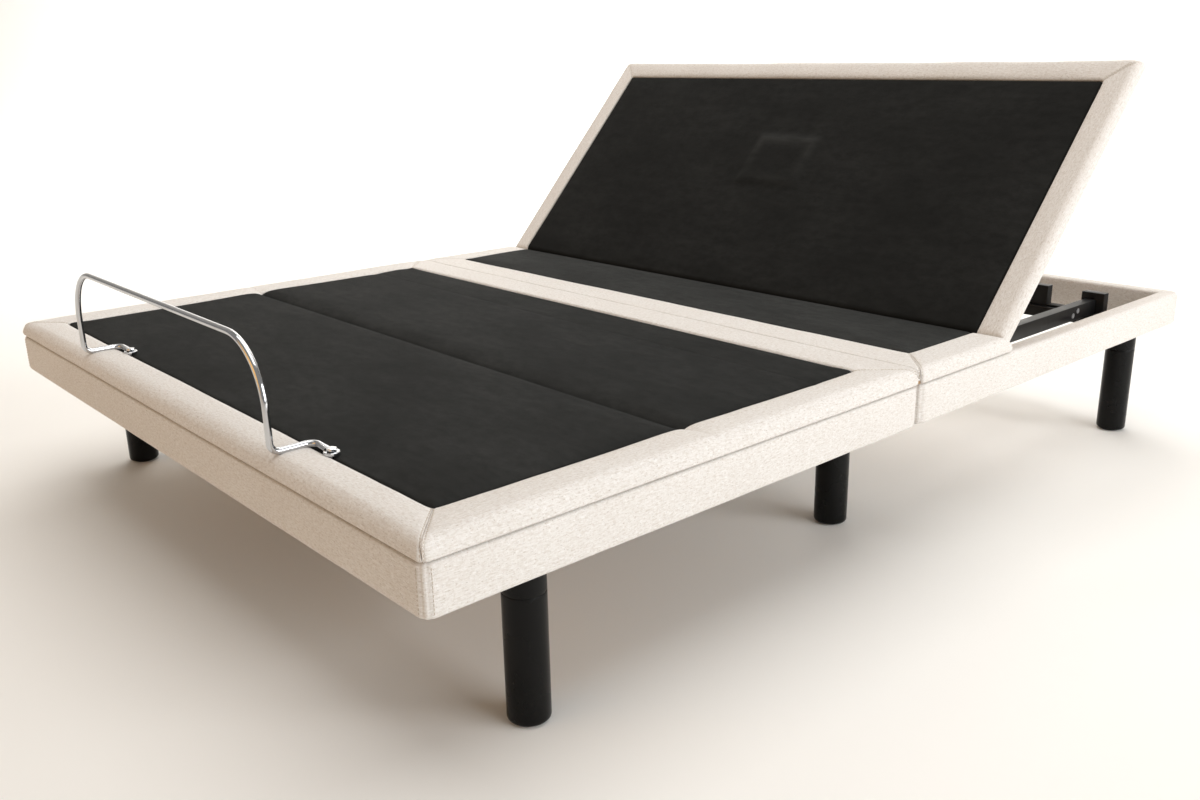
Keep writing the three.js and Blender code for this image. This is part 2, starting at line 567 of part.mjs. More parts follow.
/** A lift arm with the axle for its roller on the outer side. */
function liftArm(lift, side) {
  const { shaftY, armX } = lift;
  const tip = armTip(lift);
  const sided = (a, b) => (side > 0 ? [armX + a, armX + b] : [-armX - b, -armX - a]);
  const bar = flatLink([shaftY, SHAFT_Z], tip, LIFT_SHAFT_RADIUS + 9, 14, ...sided(0, ARM_THICKNESS));
  const axle = cylinderX(...sided(ARM_THICKNESS - 1, ARM_THICKNESS + ROLLER_WIDTH + 4), ...tip, PIN_RADIUS, 16);
  const endCap = cylinderX(...sided(ARM_THICKNESS + ROLLER_WIDTH + 2, ARM_THICKNESS + ROLLER_WIDTH + 4), ...tip, 8, 16);
  const bore = cylinderX(...sided(-1, ARM_THICKNESS + 1), shaftY, SHAFT_Z, LIFT_SHAFT_RADIUS + GAP);
  return cut(join(bar, axle, endCap), bore);
}

function liftRoller(lift, side) {
  const tip = armTip(lift);
  const x0 = lift.armX + ARM_THICKNESS + 1;
  const [from, to] = side > 0 ? [x0, x0 + ROLLER_WIDTH - 1] : [-x0 - ROLLER_WIDTH + 1, -x0];
  return cut(cylinderX(from, to, ...tip, ROLLER_RADIUS, 28), cylinderX(from - 1, to + 1, ...tip, PIN_RADIUS + 0.5, 16));
}

function addLift(group, prefix, lift) {
  addPiece(group, `${prefix}_lift_shaft`, liftShaft(lift), blackSteel);
  for (const [sideName, side] of [['left', -1], ['right', 1]]) {
    addPiece(group, `${prefix}_${sideName}_lift_arm`, liftArm(lift, side), blackSteel);
    addPiece(group, `${prefix}_${sideName}_roller`, liftRoller(lift, side), nylon);
  }
}

// ---------------------------------------------------------------- actuators

const HEAD_ACTUATOR = { rearY: 38, rearZ: 215, tubeEnd: 172, boreStart: 20, rodStart: 76 };
const FOOT_ACTUATOR = { rearY: -790, rearZ: 215, tubeEnd: 488, boreStart: 410, rodStart: 462 };
const ACTUATOR_TUBE = 17;
const ROD_RADIUS = 10;
const FORK = { back: -50, throat: -36, front: 14, halfHeight: 20 }; // along and across the rod from the lever pin
const EAR_X = [[-17, -12], [12, 17]];
const EAR_HALF_DEPTH = 8;
const SLOT = { alongRod: 6.6, acrossRod: 10.6 }; // half sizes of the slot that the lever pin runs in

/** An actuator's body along +Y from its rear pin: eye, gearbox, motor beside it, and the tube that the rod slides in. */
function actuatorBody({ tubeEnd, boreStart }) {
  const eye = cylinderX(-9.5, 9.5, 0, 0, 12);
  const gearbox = alongX(rectangle(10, 78, -28, 30, 8), -34, 34, 3);
  const neck = block([-9.5, 9.5], [0, 14], [-10, 10]);
  const motor = cylinderX(30, 128, 44, 1, 26);
  const tube = cylinderY(70, tubeEnd, 0, 0, ACTUATOR_TUBE);
  const bore = cylinderY(boreStart, tubeEnd + 2, 0, 0, ROD_RADIUS + 1);
  const pinHole = cylinderX(-12, 12, 0, 0, PIN_RADIUS + 0.5, 16);
  return cut(join(eye, gearbox, neck, motor, tube), bore, pinHole);
}

/** The rod and its slotted fork. The fork's slots leave the lever pin free to move across the rod. */
function actuatorRod({ rodStart }, pinDistance) {
  const { back, throat, front, halfHeight } = FORK;
  const rod = cylinderY(rodStart, pinDistance + back + 4, 0, 0, ROD_RADIUS);
  const forkBase = block([-13, 13], [pinDistance + back, pinDistance + throat], [-halfHeight, halfHeight]);
  const ears = [-1, 1].map((side) => {
    const [x0, x1] = side > 0 ? [7, 13] : [-13, -7];
    const ear = rectangle(pinDistance + throat - 2, pinDistance + front, -halfHeight, halfHeight, 6);
    return alongX(ear, x0, x1, 3);
  });
  const slot = alongX(
    rectangle(pinDistance - SLOT.alongRod, pinDistance + SLOT.alongRod, -SLOT.acrossRod, SLOT.acrossRod, 5),
    -20, 20, 3);
  return cut(join(rod, forkBase, ...ears), slot);
}

/** Two ears and the rear pin of an actuator, with the plate that carries them. */
function rearEars({ rearY, rearZ }, topZ) {
  const ears = EAR_X.map((x) => block(x, [rearY - EAR_HALF_DEPTH, rearY + EAR_HALF_DEPTH], [rearZ - 14, topZ]));
  const pin = cylinderX(-20, 20, rearY, rearZ, PIN_RADIUS, 16);
  return [...ears, pin];
}

function addActuator(prefix, actuator, lift, turn) {
  const [y, z] = leverTip(lift);
  const fromShaft = new THREE.Vector2(y - lift.shaftY, z - SHAFT_Z).rotateAround(new THREE.Vector2(), turn);
  const reach = new THREE.Vector2(lift.shaftY + fromShaft.x - actuator.rearY, SHAFT_Z + fromShaft.y - actuator.rearZ);
  const group = new THREE.Group();
  group.position.set(0, actuator.rearY, actuator.rearZ);
  group.rotation.x = reach.angle();
  bedBase.add(group);
  addPiece(group, `${prefix}_actuator_body`, actuatorBody(actuator), blackPlastic);
  addPiece(group, `${prefix}_actuator_rod`, actuatorRod(actuator, reach.length()), steelRod);
}

function headActuatorBracket() {
  const plateY = MODULE_JOINT + RAIL_THICKNESS + 2 * GAP;
  const plate = block([-32, 32], [plateY, plateY + 5], [HEAD_ACTUATOR.rearZ - 14, RAIL_TOP - 8]);
  const webs = EAR_X.map((x) =>
    block(x, [plateY + 4, HEAD_ACTUATOR.rearY], [HEAD_ACTUATOR.rearZ - 14, HEAD_ACTUATOR.rearZ + 20]));
  return join(plate, ...webs, ...rearEars(HEAD_ACTUATOR, HEAD_ACTUATOR.rearZ + 20));
}

// ---------------------------------------------------------------- control box and power supply

const ELECTRICS_TOP = DECK_BOTTOM - 2 * GAP;

function controlBox() {
  return alongX(rectangle(60, 190, ELECTRICS_TOP - 38, ELECTRICS_TOP, 6), 220, 400, 3);
}

function powerSupply() {
  const shell = alongX(rectangle(60, 170, ELECTRICS_TOP - 36, ELECTRICS_TOP, 6), -400, -240, 3);
  const mainsInlet = block([-334, -306], [152, 180], [ELECTRICS_TOP - 28, ELECTRICS_TOP - 8]);
  return cut(shell, mainsInlet);
}

// ---------------------------------------------------------------- assembly

addRails();
addSteelFrame(FOOT_LIFT.shaftY, HEAD_LIFT.shaftY, [
  block([-32, 32], [FOOT_LEG_Y - 20, FOOT_ACTUATOR.rearY + EAR_HALF_DEPTH], [CROSS_TUBE_BOTTOM - 4, CROSS_TUBE_BOTTOM + 1]),
  ...rearEars(FOOT_ACTUATOR, CROSS_TUBE_BOTTOM - 1),
]);
addLegs();
addSeat();
addHeadSection();
addFootSection();
addLift(turnedGroup(HEAD_LIFT.shaftY, SHAFT_Z, LIFT_RATIO_HEAD * HEAD_RAISED), 'head', HEAD_LIFT);
addLift(bedBase, 'foot', FOOT_LIFT);
addActuator('head', HEAD_ACTUATOR, HEAD_LIFT, LIFT_RATIO_HEAD * HEAD_RAISED);
addActuator('foot', FOOT_ACTUATOR, FOOT_LIFT, 0);
addPiece(bedBase, 'head_actuator_bracket', headActuatorBracket(), blackSteel);
addPiece(bedBase, 'control_box', controlBox(), blackPlastic);
addPiece(bedBase, 'power_supply', powerSupply(), blackPlastic);

export default bedBase;
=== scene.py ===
"""Looks of the adjustable bed base: upholstered rails and deck covers, felt tops, stitching, legs,
retainer bar and the finishes of the steelwork and mechanism. Metres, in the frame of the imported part."""

import json
import math

import bmesh
import bpy
from mathutils import Matrix, Vector, noise
from mathutils.bvhtree import BVHTree


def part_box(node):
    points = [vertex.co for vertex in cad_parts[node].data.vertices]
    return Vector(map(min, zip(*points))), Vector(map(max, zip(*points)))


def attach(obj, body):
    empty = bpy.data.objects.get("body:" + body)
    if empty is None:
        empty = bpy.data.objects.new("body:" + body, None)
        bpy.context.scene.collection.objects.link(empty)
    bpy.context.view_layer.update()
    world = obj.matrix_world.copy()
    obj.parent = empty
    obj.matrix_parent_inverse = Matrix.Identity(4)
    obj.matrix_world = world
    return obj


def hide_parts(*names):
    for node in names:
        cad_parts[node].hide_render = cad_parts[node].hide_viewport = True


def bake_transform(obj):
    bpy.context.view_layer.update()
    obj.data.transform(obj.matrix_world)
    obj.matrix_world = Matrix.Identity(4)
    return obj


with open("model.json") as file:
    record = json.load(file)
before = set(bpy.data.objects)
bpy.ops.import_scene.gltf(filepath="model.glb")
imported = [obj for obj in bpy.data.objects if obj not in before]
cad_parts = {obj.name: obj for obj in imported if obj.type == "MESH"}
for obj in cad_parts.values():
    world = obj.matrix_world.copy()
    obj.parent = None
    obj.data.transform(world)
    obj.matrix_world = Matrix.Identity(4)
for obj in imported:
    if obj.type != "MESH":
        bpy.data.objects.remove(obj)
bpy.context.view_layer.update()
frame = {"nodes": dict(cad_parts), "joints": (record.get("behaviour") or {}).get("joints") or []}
scene = bpy.context.scene
JOINTS = {joint["name"]: joint for joint in frame["joints"]}

# ---------------------------------------------------------------- camera and light

CAMERA_PLACE = Vector((1.7451, -1.6105, 0.8582))
CAMERA_YAW = math.radians(48.65)
CAMERA_PITCH = math.radians(17.49)
CAMERA_ROLL = math.radians(-1.12)
CAMERA_LENS = 33.41

AIR_COLOR, AIR_STRENGTH = (1.0, 0.97, 0.93, 1), 0.30
SOFT_LIGHTS = (  # name, place, what it points at, width and height, watts, colour
    ("key", (5.4, 1.3, 1.7), (0, 0.3, 0.3), (4.5, 2.4), 236, (0.985, 1.0, 1.02)),
    ("overhead", (0.3, 0.2, 4.2), (0.3, 0.2, 0), (4.6, 4.6), 116, (1.0, 0.985, 0.965)),
    ("foot_fill", (-1.2, -6.0, 1.8), (0, -0.4, 0.3), (5.0, 3.0), 56, (1.0, 0.47, 0.03)),
    ("backdrop_wash", (-3.4, 3.4, 5.0), (-6.0, 6.0, 0), (6.0, 5.0), 700, (1.0, 0.99, 0.98)),
)


def make_camera():
    camera = bpy.data.objects.new("camera", bpy.data.cameras.new("camera"))
    scene.collection.objects.link(camera)
    scene.camera = camera
    camera.data.lens = CAMERA_LENS
    camera.data.sensor_width = 36
    camera.data.clip_end = 100
    level = math.cos(CAMERA_PITCH)
    forward = Vector((-math.sin(CAMERA_YAW) * level, math.cos(CAMERA_YAW) * level, -math.sin(CAMERA_PITCH)))
    side = Vector((math.cos(CAMERA_YAW), math.sin(CAMERA_YAW), 0))
    upright = side.cross(forward)
    roll_cos, roll_sin = math.cos(CAMERA_ROLL), math.sin(CAMERA_ROLL)
    right, up = roll_cos * side + roll_sin * upright, -roll_sin * side + roll_cos * upright
    turn = Matrix((right, up, -forward)).transposed().to_4x4()
    camera.matrix_world = Matrix.Translation(CAMERA_PLACE) @ turn


def soft_light(name, place, target, size, power, color):
    light = bpy.data.lights.new(name, "AREA")
    light.shape = "RECTANGLE"
    light.size, light.size_y = size
    light.energy = power
    light.color = color
    lamp = bpy.data.objects.new(name, light)
    scene.collection.objects.link(lamp)
    lamp.location = place
    lamp.rotation_euler = (Vector(target) - Vector(place)).to_track_quat("-Z", "Y").to_euler()


def make_studio():
    scene.view_settings.view_transform = "Standard"
    world = bpy.data.worlds.new("studio")
    world.use_nodes = True
    background = world.node_tree.nodes["Background"]
    background.inputs["Color"].default_value = AIR_COLOR
    background.inputs["Strength"].default_value = AIR_STRENGTH
    scene.world = world
    for light in SOFT_LIGHTS:
        soft_light(*light)


make_camera()
make_studio()

# ---------------------------------------------------------------- material helpers

CLOTH_UV = "cloth"
# Vertex attribute that carries the painted highlight along the motor plate's rim.
RIM_HIGHLIGHT_ATTRIBUTE = "rubbed"


class Shader:
    """A Principled material and short ways to add and join its nodes."""

    def __init__(self, name, color, **settings):
        self.material = bpy.data.materials.new(name)
        self.material.use_nodes = True
        self.nodes = self.material.node_tree.nodes
        self.links = self.material.node_tree.links
        self.surface = self.nodes["Principled BSDF"]
        self.surface.inputs["Base Color"].default_value = (*color, 1)
        self.material.diffuse_color = (*color, 1)
        for socket, value in settings.items():
            self.surface.inputs[socket.replace("_", " ")].default_value = value

    def plug(self, socket, value):
        if isinstance(value, bpy.types.NodeSocket):
            self.links.new(value, socket)
        else:
            socket.default_value = value

    def add(self, kind, inputs=None, **properties):
        node = self.nodes.new("ShaderNode" + kind)
        for key, value in properties.items():
            setattr(node, key, value)
        for key, value in (inputs or {}).items():
            self.plug(node.inputs[key], value)
        return node

    def feed(self, socket, value):
        self.links.new(value, self.surface.inputs[socket])

    def on_cloth(self):
        """Metres along and across the weave."""
        return self.add("UVMap", uv_map=CLOTH_UV).outputs["UV"]

    def on_piece(self):
        return self.add("TexCoord").outputs["Object"]

    def noise(self, vector, scale, detail=3.0, roughness=0.55):
        """Noise of one scale, or stretched where scale holds three."""
        if isinstance(scale, tuple):
            vector = self.add("Mapping", {"Vector": vector, "Scale": scale}).outputs["Vector"]
            scale = 1.0
        return self.add("TexNoise", {"Vector": vector, "Scale": scale, "Detail": detail,
                                     "Roughness": roughness}).outputs["Fac"]

    def waves(self, vector, way, **inputs):
        return self.add("TexWave", {"Vector": vector, **inputs}, bands_direction=way).outputs["Fac"]

    def between(self, value, low, high, to_low=0.0, to_high=1.0):
        return self.add("MapRange", {"Value": value, "From Min": low, "From Max": high,
                                     "To Min": to_low, "To Max": to_high}).outputs["Result"]

    def blend(self, factor, first, second):
        node = self.add("Mix", data_type="RGBA")
        for label, value in (("Factor", factor), ("A", first), ("B", second)):
            socket = next(s for s in node.inputs if s.name == label and s.enabled)
            self.plug(socket, (*value, 1) if isinstance(value, tuple) else value)
        return next(s for s in node.outputs if s.enabled)

    def tinted(self, color, *tints):
        """Lays tints over a colour: each one's pattern, the range it comes in over, its share and colour."""
        for pattern, low, high, share, tint in tints:
            color = self.blend(self.between(pattern, low, high, 0, share), color, tint)
        return color

    def math(self, operation, first, second):
        node = self.add("Math", operation=operation)
        self.plug(node.inputs[0], first)
        self.plug(node.inputs[1], second)
        return node.outputs["Value"]

    def bump(self, height, distance, strength):
        node = self.add("Bump", {"Height": height, "Distance": distance, "Strength": strength})
        self.feed("Normal", node.outputs["Normal"])


def linen_material():
    """Heathered plain weave: pale slubbed threads both ways with sparse brown, rose and grey flecks."""
    s = Shader("linen_weave", (0.72, 0.67, 0.62), Roughness=0.95, Specular_IOR_Level=0.2,
               Sheen_Weight=0.10, Sheen_Roughness=0.5)
    cloth = s.on_cloth()
    weft = s.noise(cloth, (75, 1100, 1), detail=2)
    warp = s.noise(cloth, (1100, 75, 1), detail=2)
    slub = s.noise(cloth, (70, 430, 1))
    heather = s.noise(cloth, (140, 290, 1))
    pale = s.noise(cloth, (150, 310, 1), detail=2)
    brown = s.noise(cloth, (190, 620, 1), detail=2)
    rose = s.noise(cloth, (420, 210, 1), detail=2)
    grey = s.noise(cloth, (300, 520, 1), detail=2)
    patches = s.noise(cloth, (9, 14, 1), detail=4)
    threads = s.blend(s.between(weft, 0.36, 0.64), (0.79, 0.757, 0.72), (0.68, 0.64, 0.59))
    s.feed("Base Color", s.tinted(
        threads,
        (warp, 0.38, 0.68, 0.5, (0.84, 0.815, 0.785)),
        (slub, 0.52, 0.68, 0.5, (0.60, 0.54, 0.475)),
        (heather, 0.50, 0.66, 0.42, (0.56, 0.49, 0.42)),
        (pale, 0.55, 0.70, 0.6, (0.88, 0.865, 0.845)),
        (brown, 0.63, 0.69, 0.6, (0.34, 0.26, 0.20)),
        (rose, 0.655, 0.715, 0.5, (0.50, 0.36, 0.31)),
        (grey, 0.65, 0.71, 0.45, (0.36, 0.36, 0.37)),
        (patches, 0.3, 0.7, 0.16, (0.60, 0.53, 0.47))))
    across, along = (s.waves(cloth, way, Scale=235.0, Distortion=0.6, Detail=1.0) for way in ("X", "Y"))
    weave = s.math("MAXIMUM", across, along)
    height = s.math("ADD", s.math("MULTIPLY", weave, 0.5), s.math("ADD", weft, warp))
    s.bump(height, 0.0006, 0.75)
    return s.material


def felt_material(name, tone):
    """Charcoal non-slip felt: matted fibres with faint brushed streaks across the deck.

    tone scales every colour of the felt: under 1 it paints shade into it, over 1 it gives a lighter felt."""
    def nap(*color):
        return tuple(c * tone for c in color)

    s = Shader(name, nap(0.024, 0.024, 0.024), Roughness=0.95, Specular_IOR_Level=0.08)
    cloth = s.on_cloth()
    fibres = s.noise(cloth, 850, detail=4, roughness=0.65)
    streaks = s.noise(cloth, (11, 42, 1), detail=6)
    clouds = s.noise(cloth, (3.5, 6, 1))
    mottle = s.noise(cloth, (38, 60, 1), detail=5, roughness=0.7)
    matted = s.blend(s.between(fibres, 0.3, 0.7), nap(0.011, 0.0114, 0.0106), nap(0.028, 0.0284, 0.0272))
    color = s.tinted(
        matted,
        (streaks, 0.42, 0.72, 0.5, nap(0.033, 0.0335, 0.032)),
        (mottle, 0.40, 0.62, 0.45, nap(0.036, 0.0365, 0.035)),
        (clouds, 0.35, 0.65, 0.55, nap(0.012, 0.0124, 0.0116)))
    # Painted highlight: a paler colour blended in along the motor plate's rim, made patchy by the streaks.
    rim_highlight = s.add("Attribute", attribute_name=RIM_HIGHLIGHT_ATTRIBUTE).outputs["Fac"]
    patchy_rim_highlight = s.math("MULTIPLY", rim_highlight, s.between(streaks, 0.3, 0.6, 0.2, 0.75))
    s.feed("Base Color", s.blend(patchy_rim_highlight, color, (0.034, 0.0345, 0.033)))
    s.feed("Roughness", s.between(fibres, 0.3, 0.7, 0.88, 1.0))
    s.bump(s.math("ADD", fibres, s.math("MULTIPLY", streaks, 0.8)), 0.0007, 0.7)
    return s.material


def coated_material(name, low, high, roughness, grain, grain_height, worn=(0.03, 0.03, 0.03), shine=0.3):
    """A painted, coated or moulded finish with a fine grain, uneven gloss and faint rubbing."""
    s = Shader(name, low, Roughness=roughness, Specular_IOR_Level=shine)
    piece = s.on_piece()
    fine = s.noise(piece, grain)
    broad = s.noise(piece, 7, detail=4)
    rubbed = s.noise(piece, (30, 30, 9), detail=5)
    color = s.blend(s.between(broad, 0.3, 0.7), low, high)
    s.feed("Base Color", s.tinted(color, (rubbed, 0.62, 0.78, 0.5, worn)))
    s.feed("Roughness", s.between(broad, 0.3, 0.7, roughness - 0.06, roughness + 0.08))
    s.bump(fine, grain_height, 0.6)
    return s.material


def metal_material(name, color, roughness, brushing, marks):
    """A bare or plated metal with brushing along X and faint marks in its gloss."""
    s = Shader(name, color, Metallic=1.0, Roughness=roughness)
    piece = s.on_piece()
    lines = s.noise(piece, (25, brushing, brushing), detail=2)
    smears = s.noise(piece, 16, detail=4)
    s.feed("Base Color", s.blend(s.between(smears, 0.3, 0.7), color, tuple(c * 0.9 for c in color)))
    s.feed("Roughness", s.math("ADD", s.between(lines, 0.3, 0.7, roughness, roughness + marks),
                               s.between(smears, 0.4, 0.7, 0, marks)))
    s.bump(lines, 0.00005, 0.4)
    return s.material


def plywood_material():
    """Birch plywood: long grain, dark pores and faint plies."""
    s = Shader("plywood", (0.45, 0.29, 0.15), Roughness=0.7)
    piece = s.on_piece()
    grain = s.noise(piece, (3, 60, 60), detail=5)
    pores = s.noise(piece, (35, 700, 700), detail=2)
    plies = s.waves(piece, "Z", Scale=130.0, Distortion=0.3)
    color = s.blend(s.between(grain, 0.3, 0.7), (0.53, 0.36, 0.20), (0.38, 0.235, 0.115))
    s.feed("Base Color", s.tinted(color, (pores, 0.6, 0.72, 0.5, (0.22, 0.13, 0.06)),
                                  (plies, 0.35, 0.75, 0.25, (0.30, 0.18, 0.09))))
    s.bump(s.math("ADD", grain, pores), 0.0003, 0.6)
    return s.material


def thread_material():
    s = Shader("seam_thread", (0.50, 0.42, 0.33), Roughness=0.75)
    twist = s.noise(s.on_piece(), 1500, detail=2)
    s.feed("Base Color", s.blend(twist, (0.40, 0.32, 0.24), (0.58, 0.49, 0.40)))
    s.bump(twist, 0.0001, 0.6)
    return s.material


LINEN = linen_material()
FELT = felt_material("charcoal_felt", 1.0)
# A lighter copy of the felt, used on the seat.
LIGHTER_FELT = felt_material("charcoal_felt_dusty", 1.45)
# A darker copy of the felt for the raised head panel: painted shade, as the panel faces away from the key
# light.
SHADED_FELT = felt_material("charcoal_felt_fresh", 0.7)
THREAD = thread_material()
PLYWOOD = plywood_material()
BLACK_STEEL = coated_material("black_powder_coat", (0.0045, 0.0045, 0.0048), (0.008, 0.008, 0.0084),
                              0.38, 900, 0.00008, shine=0.28)
LEG_BLACK = coated_material("leg_satin_black", (0.0022, 0.0022, 0.0021), (0.0036, 0.0036, 0.0034),
                            0.26, 1400, 0.00004, worn=(0.008, 0.008, 0.0075), shine=0.16)
BLACK_PLASTIC = coated_material("black_moulding", (0.013, 0.013, 0.014), (0.020, 0.020, 0.021),
                                0.55, 1100, 0.0001)
NYLON = coated_material("white_nylon", (0.70, 0.70, 0.66), (0.78, 0.77, 0.73),
                        0.45, 500, 0.00005, worn=(0.45, 0.44, 0.41), shine=0.5)
CHROME = metal_material("chrome_plate", (0.64, 0.65, 0.67), 0.07, 60, 0.02)
ZINC = metal_material("zinc_plate", (0.50, 0.51, 0.53), 0.32, 900, 0.08)
STEEL_ROD = metal_material("ground_steel", (0.60, 0.60, 0.62), 0.2, 1500, 0.06)

# ---------------------------------------------------------------- mesh helpers

SAME_POINT = 1e-6
CLOTH_FRAMES = 12
CLOTH_MASS = 0.4
CLOTH_STRETCH = 30
CLOTH_BENDING = 2.0
SHELL = 0.0052


def add_object(name, mesh, material, slot=None, body=None):
    mesh.name = name
    mesh.materials.clear()
    mesh.materials.append(material)
    obj = bpy.data.objects.new(name, mesh)
    scene.collection.objects.link(obj)
    if body:
        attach(obj, body)
    return obj


def sheet_mesh(bm):
    mesh = bpy.data.meshes.new("mesh_in_work")
    bm.to_mesh(mesh)
    bm.free()
    return mesh


def piece_mesh(bm, smooth_angle=40):
    mesh = sheet_mesh(bm)
    mesh.shade_smooth()
    mesh.set_sharp_from_angle(angle=math.radians(smooth_angle))
    return mesh


def shaped_grid(columns, rows, place):
    """A grid whose vertex at (column, row) lies where place(column value, row value) says."""
    bm = bmesh.new()
    bmesh.ops.create_grid(bm, x_segments=len(columns) - 1, y_segments=len(rows) - 1, size=1)
    for v in bm.verts:
        column = round((v.co.x + 1) / 2 * (len(columns) - 1))
        row = round((v.co.y + 1) / 2 * (len(rows) - 1))
        v.co = place(columns[column], rows[row])
    return bm


def steps(start, end, size):
    """Even stations from start to end, both included, at most size apart."""
    count = max(1, math.ceil(abs(end - start) / size))
    return [start + (end - start) * i / count for i in range(count + 1)]


def stations(start, end, size, near_start=(), near_end=(), lines=(), near_line=()):
    """Stations from start to end with extra ones close to each end and on both sides of given lines."""
    marks = {start, end}
    marks |= {start + offset for offset in near_start} | {end - offset for offset in near_end}
    for line in lines:
        marks |= {line + offset for offset in near_line} | {line - offset for offset in near_line}
    marks = sorted(round(mark, 7) for mark in marks if start - 1e-9 <= mark <= end + 1e-9)
    filled = [marks[0]]
    for mark in marks[1:]:
        filled += steps(filled[-1], mark, size)[1:]
    return filled


def run_lengths(path):
    """The distance along a path to each of its points."""
    lengths = [0.0]
    for a, b in zip(path, path[1:]):
        lengths.append(lengths[-1] + (b - a).length)
    return lengths


def ease(value, low, high):
    t = min(1.0, max(0.0, (value - low) / (high - low)))
    return t * t * (3 - 2 * t)


def bell(distance, width):
    return math.exp(-(distance / width) ** 2)


def uneven(place, per_metre, layer):
    """Fixed unevenness over the plan, from about -1 to 1. Each layer is another pattern."""
    return noise.noise(Vector((place.x * per_metre, place.y * per_metre, layer)))


def round_corner(x, y, half, edge, sign, radius):
    """Rounds a plan's corner where its side meets the end that lies at y = edge."""
    past_x, past_y = radius - (half - abs(x)), radius - sign * (y - edge)
    if past_x > 0 and past_y > 0:
        shrink = max(past_x, past_y) / math.hypot(past_x, past_y)
        x = math.copysign(half - radius + past_x * shrink, x)
        y = edge + sign * (radius - past_y * shrink)
    return x, y


def work_object(mesh):
    """A short-lived object that holds a sheet while a modifier shapes it."""
    holder = bpy.data.objects.new("sheet_in_work", mesh)
    scene.collection.objects.link(holder)
    return holder


def as_shaped(holder):
    return holder.evaluated_get(bpy.context.evaluated_depsgraph_get())


def puff(mesh, pinned, pressure, cap):
    """Inflates a sheet of cloth with air under it, held where pinned(vertex index) is true.

    No point moves past cap."""
    holder = work_object(mesh)
    group = holder.vertex_groups.new(name="sewn")
    group.add([v.index for v in mesh.vertices if pinned(v.index)], 1.0, "REPLACE")
    cloth = holder.modifiers.new("cloth", "CLOTH")
    cloth.settings.vertex_group_mass = "sewn"
    cloth.settings.quality = 4
    cloth.settings.mass = CLOTH_MASS
    cloth.settings.tension_stiffness = cloth.settings.compression_stiffness = CLOTH_STRETCH
    cloth.settings.bending_stiffness = CLOTH_BENDING
    cloth.settings.use_pressure = True
    cloth.settings.uniform_pressure_force = pressure
    cloth.settings.effector_weights.gravity = 0
    cloth.point_cache.frame_start, cloth.point_cache.frame_end = 1, CLOTH_FRAMES
    for frame_number in range(1, CLOTH_FRAMES + 1):
        scene.frame_set(frame_number)
    blown = [v.co.copy() for v in as_shaped(holder).data.vertices]
    for v, moved in zip(mesh.vertices, blown):
        shift = moved - v.co
        if shift.length > 1e-9:
            v.co += shift * (cap * math.tanh(shift.length / cap) / shift.length)
    scene.frame_set(1)
    bpy.data.objects.remove(holder)


def smoothed(mesh):
    """The sheet after one round of subdivision, with its corners kept."""
    holder = work_object(mesh)
    subdivision = holder.modifiers.new("smooth", "SUBSURF")
    subdivision.levels = subdivision.render_levels = 1
    subdivision.boundary_smooth = "PRESERVE_CORNERS"
    result = bpy.data.meshes.new_from_object(as_shaped(holder))
    bpy.data.objects.remove(holder)
    return result


def project_uv(bm, lengthwise):
    """Lays the weave flat on each face, in metres. lengthwise turns it to run along Y on level faces."""
    layer = bm.loops.layers.uv.get(CLOTH_UV) or bm.loops.layers.uv.new(CLOTH_UV)
    for face in bm.faces:
        nx, ny, nz = (abs(c) for c in face.normal)
        for loop in face.loops:
            x, y, z = loop.vert.co
            if nz >= nx and nz >= ny:
                loop[layer].uv = (y, x) if lengthwise else (x, y)
            elif nx >= ny:
                loop[layer].uv = (y, z)
            else:
                loop[layer].uv = (x, z)


def facing_up(bm):
    bmesh.ops.recalc_face_normals(bm, faces=bm.faces)
    if sum(f.normal.z * f.calc_area() for f in bm.faces) < 0:
        bmesh.ops.reverse_faces(bm, faces=bm.faces)


def upholstery(mesh, lengthwise):
    """A closed padded shell with the sheet as its outer face. It reaches no lower than the sheet does."""
    bm = bmesh.new()
    bm.from_mesh(mesh)
    bmesh.ops.remove_doubles(bm, verts=bm.verts, dist=SAME_POINT)
    facing_up(bm)
    project_uv(bm, lengthwise)
    bm.normal_update()
    rim = [e for e in bm.edges if e.is_boundary]
    doubled = bmesh.ops.duplicate(bm, geom=bm.verts[:] + bm.edges[:] + bm.faces[:])
    twins = doubled["vert_map"]
    under_faces = [g for g in doubled["geom"] if isinstance(g, bmesh.types.BMFace)]
    copies = {g for g in doubled["geom"] if isinstance(g, bmesh.types.BMVert)}
    outer = [v for v in bm.verts if v not in copies]
    lowest = min(v.co.z for v in outer)
    for v in outer:
        twins[v].co = v.co - v.normal * SHELL
        twins[v].co.z = max(twins[v].co.z, lowest)
    bmesh.ops.reverse_faces(bm, faces=under_faces)
    for edge in rim:
        a, b = edge.verts
        bmesh.ops.contextual_create(bm, geom=[a, b, twins[b], twins[a]])
    bmesh.ops.recalc_face_normals(bm, faces=bm.faces)
    return bm


def turned(bm, outline, around, closed=False):
    """Spins an outline of (radius, height) round the Z axis, and gives back its vertices."""
    before = set(bm.verts)
    verts = [bm.verts.new((radius, 0, z)) for radius, z in outline]
    following = verts[1:] + verts[:1] if closed else verts[1:]
    edges = [bm.edges.new(pair) for pair in zip(verts, following)]
    bmesh.ops.spin(bm, geom=verts + edges, cent=(0, 0, 0), axis=(0, 0, 1), angle=2 * math.pi,
                   steps=around, use_merge=True)
    return [v for v in bm.verts if v not in before]


def closed_up(bm):
    """Merges what meets and turns all faces outwards."""
    bmesh.ops.remove_doubles(bm, verts=bm.verts, dist=SAME_POINT)
    bmesh.ops.recalc_face_normals(bm, faces=bm.faces)


def tree_of(obj):
    bm = bmesh.new()
    bm.from_mesh(obj.data)
    tree = BVHTree.FromBMesh(bm)
    bm.free()
    return tree


# ---------------------------------------------------------------- deck covers

calf_low, calf_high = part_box("calf_pad")
foot_seat_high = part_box("foot_seat_pad")[1]
head_seat_low, head_seat_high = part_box("head_seat_pad")

